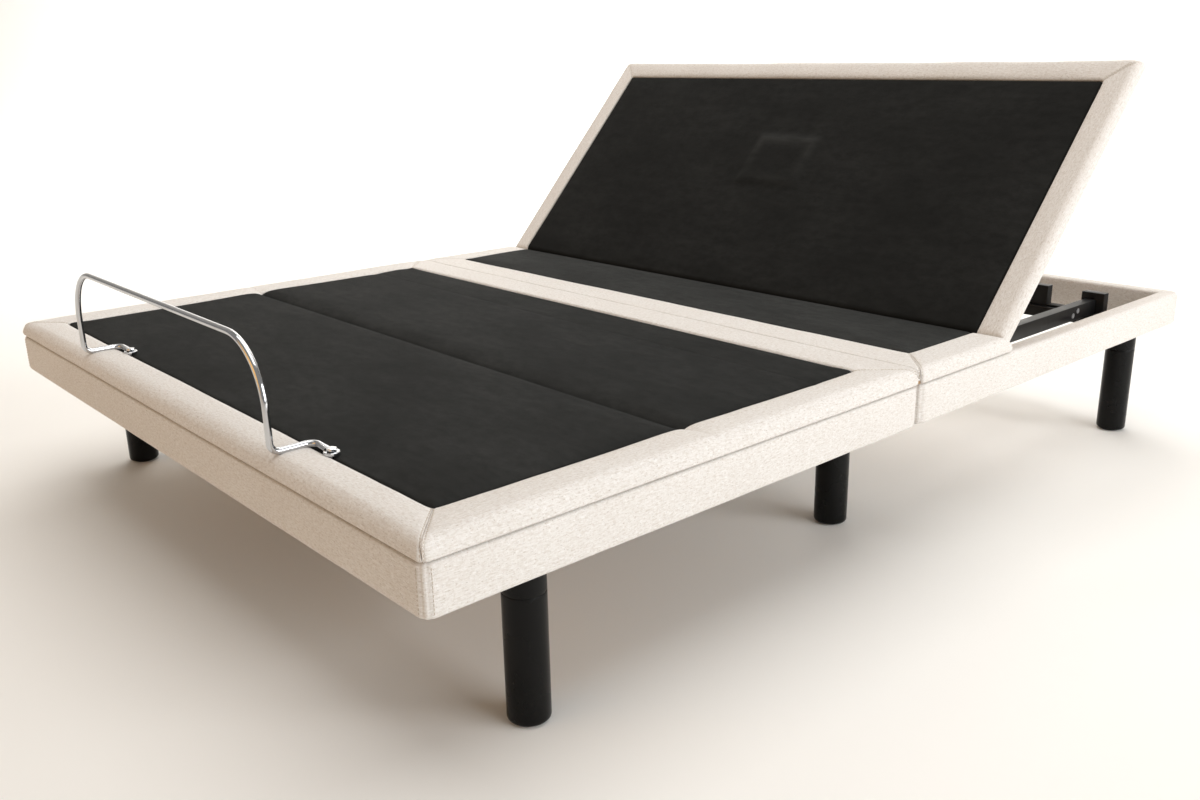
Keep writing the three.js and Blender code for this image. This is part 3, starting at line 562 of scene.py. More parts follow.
SKIRT_BOTTOM = calf_low.z + 0.0006
DECK_TOP = calf_high.z
PAD_BASE = DECK_TOP - 0.015
SIDE = calf_high.x
SIDE_BORDER = 0.079
FOOT_BORDER = 0.070
JOINT_BORDER = 0.079
HEAD_BORDER = 0.0587
KNEE_Y = JOINTS["knee_bend"]["pos_m"][1]
THIGH_Y = JOINTS["thigh_tilt"]["pos_m"][1]
MID_THIGH_Y = (KNEE_Y + THIGH_Y) / 2
HEAD_PIVOT = Vector(JOINTS["head_tilt"]["pos_m"])
HEAD_RAISED = math.radians(47.5)
HEAD_LENGTH = 0.669
HEAD_HALF_WIDTH = 0.745
HINGE_CLEARANCE = 0.0028
HEAD_TURN = (Matrix.Translation(HEAD_PIVOT) @ Matrix.Rotation(HEAD_RAISED, 4, "X")
             @ Matrix.Translation(-HEAD_PIVOT))

# How an end of a cover is finished: wrapped round the board, butted on the next cover, or at a hinge.
WRAPPED, BUTTED, HINGED = "wrapped", "butted", "hinged"
FOOTWARD, HEADWARD = 0, 1
EDGE_RADIUS = 0.019
HINGE_RADIUS = 0.015
EDGE_RADII = {WRAPPED: EDGE_RADIUS, HINGED: HINGE_RADIUS, BUTTED: 0.0014}
HEM = ((0.0024, 0.0), (0.0007, 0.0010))
HEM_TOP = 0.0030
CORNER_RADIUS = 0.012
FELT_CORNER = 0.009
FELT_CORNER_FADE = 0.03
SKEW_RUN, SKEW_SHARE = 0.2, 0.8
SQUEEZED_ABOVE = DECK_TOP - EDGE_RADIUS - 0.006

# Heights above PAD_BASE: where sewn edges are tucked in, and the lowest that felt lies, also at a hinge.
TUCK, FELT_FLOOR, HINGE_FLOOR = 0.0062, 0.0058, 0.0004

# Depth and width of what the seams, folds and stitches press in.
SEAM_DIP, SEAM_DIP_WIDTH = 0.0042, 0.0012
SEAM_PULL, SEAM_PULL_WIDTH = 0.0012, 0.006
FOLD_DIP, FOLD_DIP_WIDTH = 0.0045, 0.013
CREASE, CREASE_WIDTH = 0.0052, 0.0022
STITCH_DENT, STITCH_DENT_WIDTH = 0.0012, 0.0013
MITRE_DENT, MITRE_DENT_WIDTH = 0.0019, 0.0011
FOLD_AT_EDGE, FOLD_AT_SEAM = 0.10, 0.50
THIGH_FOLD = 0.12
STITCH_OFFSET = 0.0046

ACROSS_BORDER, BORDER_GRID, FELT_GRID = 0.009, 0.015, 0.017
SEAM_STATIONS = (0.0006, 0.0018, 0.004, 0.008, 0.014)
MITRE_STATIONS = (0.0008, 0.002, 0.0034, 0.0046, 0.006, 0.0085, 0.013)
LINE_STATIONS = (0.0, 0.0011, 0.0028, 0.006, 0.011, 0.018, 0.028)
HINGED_STATIONS = [HINGE_RADIUS * (1 - math.cos(math.pi / 2 * i / 6)) for i in range(7)] + [0.02, 0.028]

BORDER_AIR, BORDER_PUFF = 3.0, 0.0026
FELT_AIR, FELT_PUFF = 1.2, 0.0018
FLAT_STRIP = 0.2


def seam_drop(distance):
    """How far a cover sinks at a sewn edge."""
    return SEAM_DIP * math.exp(-distance / SEAM_DIP_WIDTH) + SEAM_PULL * math.exp(-distance / SEAM_PULL_WIDTH)


def edge_height(inward, radius):
    """Height of the top of a cover this far in from an edge that is rounded with the radius."""
    if inward >= radius:
        return DECK_TOP
    return DECK_TOP - radius + math.sqrt(max(0.0, radius ** 2 - (radius - inward) ** 2))


def edge_profile(kind, width):
    """(inward distance, height) from the outer edge of a border to its seam with the felt."""
    radius = EDGE_RADII[kind]
    centre = DECK_TOP - radius
    points = []
    if kind == WRAPPED:
        points += [(inward, SKIRT_BOTTOM + height) for inward, height in HEM]
        points += [(0.0, z) for z in steps(SKIRT_BOTTOM + HEM_TOP, centre, 0.004)[:-1]]
    elif kind == BUTTED:
        points += [(0.0, z) for z in steps(PAD_BASE + 0.001, centre, 0.004)[:-1]]
    arc = 3 if kind == BUTTED else 8
    for i in range(arc + 1):
        angle = math.pi / 2 * i / arc
        points.append((radius * (1 - math.cos(angle)), centre + radius * math.sin(angle)))
    for inward in stations(radius, width, ACROSS_BORDER, near_end=SEAM_STATIONS)[1:]:
        points.append((inward, DECK_TOP - seam_drop(width - inward)))
    points.append((width, PAD_BASE + TUCK))
    return points


class Deck:
    """One upholstered deck cover: its plan, and how each end of it is finished and bordered."""

    def __init__(self, half, side_border, footward, headward, lines=()):
        """footward and headward are (y, how it is finished, border width)."""
        self.half, self.side_border, self.lines = half, side_border, lines
        self.ends = ((*footward, 1), (*headward, -1))
        self.skew_run = min(SKEW_RUN, (headward[0] - footward[0]) * SKEW_SHARE)

    def eased_corner(self, x, y):
        """Rounds the felt's sewn corners, and draws the borders' inner edges round with them."""
        origin = self.half - self.side_border - FELT_CORNER
        for edge, _, border, sign in self.ends:
            seam = edge + sign * border
            p, q = abs(x) - origin, FELT_CORNER - sign * (y - seam)
            if border and p > 0 and q > 0:
                reach = max(p, q)
                fade = 1 - ease(reach - FELT_CORNER, 0, FELT_CORNER_FADE)
                shrink = 1 + (reach / math.hypot(p, q) - 1) * fade
                x = math.copysign(origin + p * shrink, x)
                y = seam + sign * (FELT_CORNER - q * shrink)
        return x, y

    def in_plan(self, x, y, z):
        """A border point with the felt's corners and the plan's own corners rounded."""
        x, y = self.eased_corner(x, y)
        for edge, kind, _, sign in self.ends:
            if kind != HINGED:
                x, y = round_corner(x, y, self.half, edge, sign, CORNER_RADIUS)
        return Vector((x, y, z))

    def hinge_limit(self, y):
        """Height that no part of the cover rises above near a hinge."""
        return min([DECK_TOP] + [edge_height(sign * (y - edge), HINGE_RADIUS)
                                 for edge, kind, _, sign in self.ends if kind == HINGED])

    def fold(self, y, across):
        """How far the cover sinks along a fold line, at this share of the fold's full depth."""
        drop = 0.0
        for line in self.lines:
            distance = abs(y - line)
            share = across if line == KNEE_Y else across * THIGH_FOLD
            crease = CREASE * math.exp(-distance / CREASE_WIDTH)
            drop += share * (FOLD_DIP * bell(distance, FOLD_DIP_WIDTH) + crease)
        return drop

    def side_place(self, side):
        """Where a point of a side border lies. Its ends are cut as mitres."""
        def place(y_station, point):
            inward, z = point
            share = inward / self.side_border
            y = y_station
            for edge, _, border, sign in self.ends:
                y += sign * share * border * max(0.0, 1 - sign * (y_station - edge) / self.skew_run)
            if z > PAD_BASE:
                z = min(z, self.hinge_limit(y))
                z -= self.fold(y, FOLD_AT_EDGE + (FOLD_AT_SEAM - FOLD_AT_EDGE) * ease(share, 0.0, 1.0))
            return self.in_plan(side * (self.half - inward), y, z)
        return place

    def end_place(self, end):
        """Where a point of an end border lies. It is squeezed down to the rounded side edges."""
        edge, _, border, sign = self.ends[end]

        def place(x_station, point):
            inward, z = point
            from_side = self.half - abs(x_station)
            shift = inward / border * self.side_border * max(0.0, 1 - from_side / SKEW_RUN)
            x = math.copysign(abs(x_station) - shift, x_station) if abs(x_station) > 1e-9 else x_station
            if z > SQUEEZED_ABOVE:
                top = edge_height(self.half - abs(x), EDGE_RADIUS)
                room = top - SQUEEZED_ABOVE
                z = SQUEEZED_ABOVE + (z - SQUEEZED_ABOVE) * room / (DECK_TOP - SQUEEZED_ABOVE)
            return self.in_plan(x, edge + sign * inward, z)
        return place

    def rows(self, y0, y1, size, near):
        """Stations along Y: closer at both ends and at fold lines, with one where the cover is cut."""
        near_ends = [HINGED_STATIONS if kind == HINGED else near for _, kind, _, _ in self.ends]
        marks = stations(y0, y1, size, *near_ends, self.lines, LINE_STATIONS)
        return sorted({*marks, MID_THIGH_Y}) if self.lines else marks


def loosen(mesh, slack_of):
    """Lets a cover lie a little unevenly, and its skirt's lower edge hang unevenly.

    slack_of(vertex index) says how freely it lies, from 0 at a seam to 1."""
    mesh.update()
    normals = [v.normal.copy() for v in mesh.vertices]
    for v, normal in zip(mesh.vertices, normals):
        v.co += normal * (uneven(v.co, 6, 5.0) * 0.0009 + uneven(v.co, 22, 1.0) * 0.0003) * slack_of(v.index)
        on_skirt = ease(PAD_BASE - v.co.z, 0.0, 0.008)
        v.co.z += on_skirt * 0.0009 * (0.5 + 0.5 * uneven(v.co, 5, 9.0))


def seam_press(mesh, distance_of):
    """Presses the double stitch rows and the seam between them into a border's mitred ends."""
    mesh.update()
    normals = [v.normal.copy() for v in mesh.vertices]
    for v, normal in zip(mesh.vertices, normals):
        distance = distance_of(v.index)
        v.co -= normal * (STITCH_DENT * bell(distance - STITCH_OFFSET, STITCH_DENT_WIDTH)
                          + MITRE_DENT * bell(distance, MITRE_DENT_WIDTH))


def border_strip(columns, profile, place, mitred, cap):
    """One border strip as a puffed sheet. mitred says which of its two ends are cut as mitres."""
    bm = shaped_grid(columns, profile, place)
    facing_up(bm)
    mesh = sheet_mesh(bm)
    wide, last_row = len(columns), len(profile) - 1

    def from_mitre(index):
        along = columns[index % wide]
        return min([along - columns[0]] * mitred[0] + [columns[-1] - along] * mitred[1])

    def slack(index):
        row = index // wide
        return ease(min(row, last_row - row), 1, 5) * ease(from_mitre(index), 0.0, 0.03)

    def sewn(index):
        row, column = divmod(index, wide)
        return row < 3 or row >= last_row - 1 or column in (0, wide - 1)

    loosen(mesh, slack)
    seam_press(mesh, from_mitre)
    puff(mesh, sewn, BORDER_AIR, cap)
    return smoothed(mesh)


def felt_sheet(deck):
    """The felt panel inside the borders, as a puffed sheet. It is held down at hinges and at the knee."""
    half = deck.half - deck.side_border
    y0, y1 = (edge + sign * border for edge, _, border, sign in deck.ends)
    seams = [(edge + sign * border, sign) for edge, _, border, sign in deck.ends if border]
    columns = stations(-half, half, FELT_GRID, SEAM_STATIONS, SEAM_STATIONS)
    rows = deck.rows(y0, y1, FELT_GRID, SEAM_STATIONS)

    def place(x, y):
        to_seam = min([half - abs(x)] + [sign * (y - seam) for seam, sign in seams])
        limit = deck.hinge_limit(y)
        z = limit - seam_drop(to_seam) - deck.fold(y, 1.0)
        if to_seam < 1e-7:
            z = min(z, PAD_BASE + TUCK)
        lowest = PAD_BASE + (FELT_FLOOR if limit == DECK_TOP else HINGE_FLOOR)
        return Vector((*deck.eased_corner(x, y), max(z, lowest)))

    bm = shaped_grid(columns, rows, place)
    facing_up(bm)
    mesh = sheet_mesh(bm)
    wide = len(columns)
    held = {0, len(rows) - 1} | {
        row for row, y in enumerate(rows)
        if any(deck.hinge_limit(y + reach) < DECK_TOP for reach in (-0.01, 0, 0.01))
        or (deck.lines and abs(y - KNEE_Y) < 0.0005)}
    puff(mesh, lambda index: index // wide in held or index % wide in (0, wide - 1), FELT_AIR, FELT_PUFF)
    return smoothed(mesh)


def cut_at_mid_thigh(mesh, footward):
    """The part of a sheet on one side of mid thigh."""
    bm = bmesh.new()
    bm.from_mesh(mesh)
    bmesh.ops.bisect_plane(bm, geom=bm.verts[:] + bm.edges[:] + bm.faces[:], dist=SAME_POINT,
                           plane_co=(0, MID_THIGH_Y, 0), plane_no=(0, 1, 0),
                           clear_outer=footward, clear_inner=not footward)
    return sheet_mesh(bm)


def deck_borders(deck):
    """All border strips of a deck, as (sheet, lengthwise): both sides, then its ends."""
    mitred = [border > 0 for _, _, border, _ in deck.ends]
    rows = deck.rows(deck.ends[0][0], deck.ends[1][0], BORDER_GRID, MITRE_STATIONS)
    columns = stations(-deck.half, deck.half, BORDER_GRID, MITRE_STATIONS, MITRE_STATIONS)
    side_profile = edge_profile(WRAPPED, deck.side_border)
    sheets = [(border_strip(rows, side_profile, deck.side_place(side), mitred, BORDER_PUFF), True)
              for side in (-1, 1)]
    for end, (_, kind, border, _) in enumerate(deck.ends):
        if border:
            cap = BORDER_PUFF if kind == WRAPPED else BORDER_PUFF * FLAT_STRIP
            sheets.append((border_strip(columns, edge_profile(kind, border), deck.end_place(end),
                                        (True, True), cap), False))
    return sheets


def cover(name, sheets, material, slot, turn=None):
    """A named piece from sheets, each given its thickness."""
    shells = [sheet_mesh(upholstery(sheet, lengthwise)) for sheet, lengthwise in sheets]
    bm = bmesh.new()
    for shell in shells:
        bm.from_mesh(shell)
    if turn is not None:
        bmesh.ops.transform(bm, matrix=turn, verts=bm.verts)
    return add_object(name, piece_mesh(bm), material, slot)


foot_deck = Deck(SIDE, SIDE_BORDER, (calf_low.y, WRAPPED, FOOT_BORDER),
                 (foot_seat_high.y, BUTTED, JOINT_BORDER), lines=(KNEE_Y, THIGH_Y))
seat_deck = Deck(SIDE, SIDE_BORDER, (head_seat_low.y, BUTTED, JOINT_BORDER), (head_seat_high.y, HINGED, 0.0))
head_deck = Deck(HEAD_HALF_WIDTH, HEAD_BORDER, (HEAD_PIVOT.y + HINGE_CLEARANCE, HINGED, 0.0),
                 (HEAD_PIVOT.y + HEAD_LENGTH, WRAPPED, HEAD_BORDER))

foot_borders = deck_borders(foot_deck)
foot_felt = felt_sheet(foot_deck)


def part_of_foot(footward):
    """The foot deck's border strips on one side of mid thigh."""
    kept = []
    for sheet, lengthwise in foot_borders:
        ys = [v.co.y for v in sheet.vertices]
        if min(ys) < MID_THIGH_Y < max(ys):
            kept.append((cut_at_mid_thigh(sheet, footward), lengthwise))
        elif (max(ys) < MID_THIGH_Y) == footward:
            kept.append((sheet, lengthwise))
    return kept


calf_border = cover("calf_border", part_of_foot(True), LINEN, "linen")
thigh_border = cover("thigh_border", part_of_foot(False), LINEN, "linen")
calf_felt = cover("calf_felt", [(cut_at_mid_thigh(foot_felt, True), False)], FELT, "charcoal_felt")
thigh_felt = cover("thigh_felt", [(cut_at_mid_thigh(foot_felt, False), False)], FELT, "charcoal_felt")
seat_border = cover("seat_border", deck_borders(seat_deck), LINEN, "linen")
seat_felt = cover("seat_felt", [(felt_sheet(seat_deck), False)], LIGHTER_FELT, "charcoal_felt")
head_border = cover("head_border", deck_borders(head_deck), LINEN, "linen", HEAD_TURN)

MOTOR_HALF_X, MOTOR_HALF_Y = 0.088, 0.069
MOTOR_FROM_HINGE = 0.359
IMPRINT_HEIGHT, IMPRINT_EDGE = 0.0048, 0.010
# Width of the painted highlight along the motor plate's rim, and its share at the foot-end edge.
HIGHLIGHT_WIDTH, HIGHLIGHT_AT_FOOT = 0.012, 0.35


def press_motor_plate(mesh):
    """The motor's flange plate under the felt lifts it over a rounded rectangle, and a painted highlight lies
    along its rim as a paler colour.

    The painted highlight is strongest towards the head end."""
    rubbed = mesh.attributes.new(RIM_HIGHLIGHT_ATTRIBUTE, "FLOAT", "POINT")
    for v in mesh.vertices:
        from_middle = v.co.y - HEAD_PIVOT.y - MOTOR_FROM_HINGE
        u, w = abs(v.co.x) - MOTOR_HALF_X, abs(from_middle) - MOTOR_HALF_Y
        outside = math.hypot(max(u, 0), max(w, 0)) + min(max(u, w), 0)
        v.co.z += IMPRINT_HEIGHT * (1 - ease(outside, -IMPRINT_EDGE, IMPRINT_EDGE))
        strength = HIGHLIGHT_AT_FOOT + (1 - HIGHLIGHT_AT_FOOT) * ease(from_middle, -0.04, 0.05)
        rubbed.data[v.index].value = strength * bell(outside + IMPRINT_EDGE, HIGHLIGHT_WIDTH)


head_felt_sheet = felt_sheet(head_deck)
press_motor_plate(head_felt_sheet)
# The head felt takes the darker felt copy, which is painted shade.
head_felt = cover("head_felt", [(head_felt_sheet, False)], SHADED_FELT, "charcoal_felt", HEAD_TURN)

# ---------------------------------------------------------------- rail covers

RAIL_LOW, RAIL_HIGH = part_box("foot_left_rail")
RAIL_MIDDLE = (RAIL_LOW.z + RAIL_HIGH.z) / 2
RAIL_THICKNESS = RAIL_HIGH.x - RAIL_LOW.x
RAIL_RADIUS = 0.007
RAIL_CORNER = 0.018
RAIL_MITRE = 0.04
RAIL_GRID = 0.028
RAIL_STATIONS = (0.002, 0.0045, 0.0062, 0.009, 0.0125, 0.018, 0.027, 0.036)
RAIL_AIR, RAIL_PUFF = 2.0, 0.0016
RAIL_STITCH_DENT, RAIL_STITCH_DENT_WIDTH = 0.0010, 0.002
RAIL_STITCH_OFFSET = 0.0062
FOOT_MODULE = calf_low.y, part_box("foot_mid_rail")[1].y
HEAD_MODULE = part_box("head_mid_rail")[0].y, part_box("head_end_rail")[1].y


def rail_section():
    """The closed section of a rail, as (inward distance, height), starting low on the outer face."""
    low, high, r, depth = RAIL_LOW.z, RAIL_HIGH.z, RAIL_RADIUS, RAIL_THICKNESS
    points = [(0.0, z) for z in steps(low + r, high - r, 0.006)[:-1]]
    for across, height, begin, run in (
        (r, high - r, math.pi, [(a, high) for a in steps(r, depth - r, 0.008)]),
        (depth - r, high - r, math.pi / 2, [(depth, z) for z in steps(high - r, low + r, 0.012)]),
        (depth - r, low + r, 0.0, [(a, low) for a in steps(depth - r, r, 0.008)]),
        (r, low + r, -math.pi / 2, []),
    ):
        angles = [begin - math.pi / 2 * i / 3 for i in range(4)]
        points += [(across + r * math.cos(angle), height + r * math.sin(angle)) for angle in angles]
        points += run[1:-1]
    return points + [points[0]]


def rail_cover(name, y0, y1):
    """The padded cover of one module's four rails, as one closed ring."""
    section = rail_section()
    half = SIDE
    along_x = stations(-half, half, RAIL_GRID, RAIL_STATIONS, RAIL_STATIONS)
    along_y = stations(y0, y1, RAIL_GRID, RAIL_STATIONS, RAIL_STATIONS)
    loop = [("foot", x) for x in along_x[:-1]] + [("right", y) for y in along_y[:-1]]
    loop += [("head", x) for x in reversed(along_x[1:])] + [("left", y) for y in reversed(along_y[1:])]
    loop.append(loop[0])

    def mitred(along, low, high, inward):
        """Draws the stations near a wall's ends in, so that the walls meet on mitres."""
        for edge, sign in ((low, 1), (high, -1)):
            from_end = sign * (along - edge)
            if from_end < RAIL_MITRE:
                return edge + sign * inward + sign * from_end * (RAIL_MITRE - inward) / RAIL_MITRE
        return along

    def place(column, row):
        wall, along = loop[column]
        inward, z = section[row]
        if wall in ("foot", "head"):
            x = mitred(along, -half, half, inward)
            y = y0 + inward if wall == "foot" else y1 - inward
        else:
            x = half - inward if wall == "right" else inward - half
            y = mitred(along, y0, y1, inward)
        for edge, sign in ((y0, 1), (y1, -1)):
            x, y = round_corner(x, y, half, edge, sign, RAIL_CORNER)
        return Vector((x, y, z))

    bm = shaped_grid(range(len(loop)), range(len(section)), place)
    closed_up(bm)
    mesh = sheet_mesh(bm)
    reach = (RAIL_HIGH.z - RAIL_LOW.z) / 2 - RAIL_RADIUS * 0.6

    def from_edges(point):
        """How far a point is in from the nearer side and from the nearer end of the module."""
        return half - abs(point.x), min(point.y - y0, y1 - point.y)

    def held(index):
        point = mesh.vertices[index].co
        from_side, from_end = from_edges(point)
        at_corner = max(from_side, from_end) < RAIL_CORNER + 0.004
        return min(from_side, from_end) >= 0.001 or abs(point.z - RAIL_MIDDLE) > reach or at_corner

    puff(mesh, held, RAIL_AIR, RAIL_PUFF)
    for v in mesh.vertices:
        from_side, from_end = from_edges(v.co)
        if v.co.z < RAIL_MIDDLE and min(from_side, from_end) < 0.012:
            v.co.z += uneven(v.co, 9, 3.7) * 0.0007
        from_mitre = abs(from_side - from_end)
        if min(from_side, from_end) < RAIL_CORNER and from_mitre < 0.012 and max(from_side, from_end) < 0.02:
            dent = RAIL_STITCH_DENT * bell(from_mitre - RAIL_STITCH_OFFSET, RAIL_STITCH_DENT_WIDTH)
            headroom = y1 - v.co.y - (v.co.y - y0)
            v.co += Vector((-math.copysign(dent, v.co.x), math.copysign(dent, headroom), 0))
    bm = bmesh.new()
    bm.from_mesh(smoothed(mesh))
    bmesh.ops.recalc_face_normals(bm, faces=bm.faces)
    project_uv(bm, False)
    return add_object(name, piece_mesh(bm), LINEN, "linen", "frame")


foot_rail_cover = rail_cover("foot_rail_cover", *FOOT_MODULE)
head_rail_cover = rail_cover("head_rail_cover", *HEAD_MODULE)

# ---------------------------------------------------------------- stitching

THREAD_RADIUS = 0.00055
THREAD_SUNK = 0.35
STITCH_PITCH = 0.0056
STITCH_LENGTH = 0.0042
CORNER_ROW_OFFSET = 0.0135


def sew(bm, path, tree):
    """Lays stitches along a path, on the nearest surface."""
    lengths = run_lengths(path)

    def point_at(distance):
        for i in range(1, len(path)):
            if distance <= lengths[i]:
                t = (distance - lengths[i - 1]) / max(1e-9, lengths[i] - lengths[i - 1])
                return path[i - 1].lerp(path[i], t)
        return path[-1]

    position = STITCH_PITCH / 2
    while position + STITCH_LENGTH < lengths[-1]:
        a, b = (tree.find_nearest(point_at(position + shift))[0] for shift in (0, STITCH_LENGTH))
        normal = tree.find_nearest((a + b) / 2)[1]
        turn = (b - a).normalized().to_track_quat("Z", "Y").to_matrix().to_4x4()
        place = Matrix.Translation((a + b) / 2 + normal * THREAD_RADIUS * THREAD_SUNK) @ turn
        made = bmesh.ops.create_uvsphere(bm, u_segments=6, v_segments=4, radius=1)
        bmesh.ops.scale(bm, vec=(THREAD_RADIUS, THREAD_RADIUS, (b - a).length / 2), verts=made["verts"])
        bmesh.ops.transform(bm, matrix=place, verts=made["verts"])
        position += STITCH_PITCH


def mitre_paths(deck, end, turn=None):
    """The stitch rows on both sides of the two mitres at one end of a deck."""
    edge, kind, border, sign = deck.ends[end]
    side_profile, end_profile = edge_profile(WRAPPED, deck.side_border)[:-2], edge_profile(kind, border)[:-2]
    paths = []
    for side in (-1, 1):
        on_side, on_end = deck.side_place(side), deck.end_place(end)
        paths += [[on_side(edge + sign * STITCH_OFFSET, point) for point in side_profile],
                  [on_end(side * (deck.half - STITCH_OFFSET), point) for point in end_profile]]
    if turn is not None:
        paths = [[turn @ p for p in path] for path in paths]
    return paths


def corner_paths(edge, sign):
    """The upright stitch rows on both sides of the two rail corners at one end of the bed."""
    return [[Vector((side * (SIDE - dx), edge + sign * dy, z))
             for z in steps(RAIL_LOW.z + 0.004, RAIL_HIGH.z - 0.003, 0.02)]
            for side in (-1, 1) for dx, dy in ((0.0, CORNER_ROW_OFFSET), (CORNER_ROW_OFFSET, 0.0))]


def stitched(name, base, paths, body):
    bm = bmesh.new()
    tree = tree_of(base)
    for path in paths:
        sew(bm, path, tree)
    return add_object(name, piece_mesh(bm), THREAD, "linen", body)


stitched("calf_stitching", calf_border, mitre_paths(foot_deck, FOOTWARD), "calf_deck")
stitched("joint_stitching", thigh_border, mitre_paths(foot_deck, HEADWARD), "frame")
stitched("seat_stitching", seat_border, mitre_paths(seat_deck, FOOTWARD), "frame")
stitched("head_stitching", head_border, mitre_paths(head_deck, HEADWARD, HEAD_TURN), "head_deck")
stitched("foot_rail_stitching", foot_rail_cover, corner_paths(FOOT_MODULE[0], 1), "frame")
stitched("head_rail_stitching", head_rail_cover, corner_paths(HEAD_MODULE[1], -1), "frame")

# ---------------------------------------------------------------- which piece moves with what

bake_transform(calf_border)
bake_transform(calf_felt)
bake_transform(thigh_border)
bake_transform(thigh_felt)
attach(seat_border, "frame")
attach(seat_felt, "frame")
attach(head_border, "head_deck")
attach(head_felt, "head_deck")
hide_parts("calf_pad", "thigh_pad")
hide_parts("foot_seat_pad")
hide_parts("head_seat_pad")
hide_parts("head_pad")
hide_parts("foot_end_rail", "foot_left_rail", "foot_right_rail", "foot_mid_rail")
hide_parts("head_end_rail", "head_left_rail", "head_right_rail", "head_mid_rail")

# ---------------------------------------------------------------- legs

GROOVE_BELOW_TOP = 0.044
LEG_GAP = 0.0003
STUD_RADIUS = 0.005


def make_leg(node):
    """A turned leg with a ring groove and its stud, and a glide pad under it."""
    low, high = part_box(node)
    centre = (low + high) / 2
    radius = (high.x - low.x) / 2
    top = RAIL_LOW.z - LEG_GAP
    groove = top - GROOVE_BELOW_TOP
    foot = [(0, 0.0025), (radius - 0.007, 0.0025), (radius - 0.003, 0.0032), (radius - 0.001, 0.0052),
            (radius, 0.008), (radius, 0.012)]
    ring = [(radius - depth, groove + height) for depth, height in (
        (0, -0.006), (0, -0.0010), (0.0002, -0.0005), (0.0007, -0.0003),
        (0.0007, 0.0003), (0.0002, 0.0005), (0, 0.0010), (0, 0.006))]
    crown = [(radius, top - 0.004), (radius, top - 0.0012), (radius - 0.0012, top),
             (STUD_RADIUS, top), (STUD_RADIUS, high.z), (0, high.z)]
    glide = [(0, 0), (radius - 0.010, 0), (radius - 0.008, 0.0012), (radius - 0.008, 0.0028), (0, 0.0028)]
    for name, outline, material, slot in ((node + "_turned", foot + ring + crown, LEG_BLACK, "leg_black"),
                                          (node + "_glide", glide, BLACK_PLASTIC, "black_plastic")):
        bm = bmesh.new()
        turned(bm, outline, 72)
        closed_up(bm)
        bmesh.ops.translate(bm, verts=bm.verts, vec=(centre.x, centre.y, 0))
        add_object(name, piece_mesh(bm, 30), material, slot, "frame")
    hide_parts(node)


for leg_node in [n for n in frame["nodes"] if n.endswith("_leg")]:
    make_leg(leg_node)

# ---------------------------------------------------------------- screws and washers

SCREW_RADIUS, TUBE_SCREW_RADIUS = 0.0042, 0.0055
REST_SCREWS = ((0.768, 0.2742), (0.789, 0.2820))
TUBE_SCREW_SHARES = (0.04, 0.5, 0.96)


def pan_screw(bm, place, outward, radius):
    """A domed screw head with a round recess on a thin washer."""
    turn = Vector(outward).to_track_quat("Z", "Y").to_matrix().to_4x4()
    height = radius * 0.62
    outline = [(0, 0), (radius * 1.45, 0), (radius * 1.45, radius * 0.14), (radius, radius * 0.16),
               (radius, radius * 0.30), (radius * 0.86, radius * 0.50), (radius * 0.52, height),
               (radius * 0.2, height), (radius * 0.12, height * 0.55), (0, height * 0.5)]
    made = turned(bm, outline, 24)
    bmesh.ops.transform(bm, matrix=Matrix.Translation(place) @ turn, verts=made)


def screws(name, heads, radius):
    bm = bmesh.new()
    for place, outward in heads:
        pan_screw(bm, Vector(place), outward, radius)
    closed_up(bm)
    add_object(name, piece_mesh(bm, 30), ZINC, "zinc", "frame")


def under_tubes():
    """Places under the side tubes, found on the tubes' own faces."""
    places = []
    for node in ("foot_right_tube", "foot_left_tube", "head_right_tube", "head_left_tube"):
        low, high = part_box(node)
        tube = tree_of(frame["nodes"][node])
        for share in TUBE_SCREW_SHARES:
            below = Vector(((low.x + high.x) / 2, low.y + (high.y - low.y) * share, low.z - 0.05))
            hit = tube.ray_cast(below, Vector((0, 0, 1)))[0]
            if hit is not None:
                places.append((hit, (0, 0, -1)))
    return places


right_tube_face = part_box("head_right_tube")[1].x
left_tube_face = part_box("head_left_tube")[0].x
screws("rest_screws", [((right_tube_face, y, z), (1, 0, 0)) for y, z in REST_SCREWS]
       + [((left_tube_face, y, z), (-1, 0, 0)) for y, z in REST_SCREWS], SCREW_RADIUS)
screws("tube_screws", under_tubes(), TUBE_SCREW_RADIUS)

# ---------------------------------------------------------------- retainer bar

BAR_RADIUS = 0.005
bar_low, bar_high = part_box("retainer_bar")
BAR_TOP = bar_high.z - BAR_RADIUS
BAR_Y = bar_low.y + BAR_RADIUS
BAR_FOOT_Y = calf_low.y + 0.074
BAR_HALF = 0.378
BAR_REACH = 0.050
BAR_BOTTOM = DECK_TOP + 0.0003
BAR_REST = BAR_BOTTOM + BAR_RADIUS
BAR_BEND, BAR_TOP_BEND = 0.014, 0.095
BAR_END_FROM_EYE = 0.009
FLATTENED_RUN = 0.014
EYE_RADIUS, EYE_HOLE, EYE_RIM, EYE_THICKNESS = 0.0118, 0.0047, 0.0008, 0.0046


def rounded_path(points, radii, arc_steps=14, straight_step=0.03):
    """Points along straight runs joined by arcs of the given radii."""
    path = [points[0]]

    def run_to(target):
        start = path[-1]
        path.extend(start.lerp(target, t)
                    for t in steps(0, 1, straight_step / max(1e-6, (target - start).length))[1:])

    for before, corner, after, radius in zip(points, points[1:], points[2:], radii):
        into, out = (corner - before).normalized(), (after - corner).normalized()
        entry = corner - into * radius
        centre = entry + out * radius
        run_to(entry)
        for i in range(1, arc_steps + 1):
            angle = math.pi / 2 * i / arc_steps
            path.append(centre - out * radius * math.cos(angle) + into * radius * math.sin(angle))
        path[-1] = corner + out * radius
    run_to(points[-1])
    return path


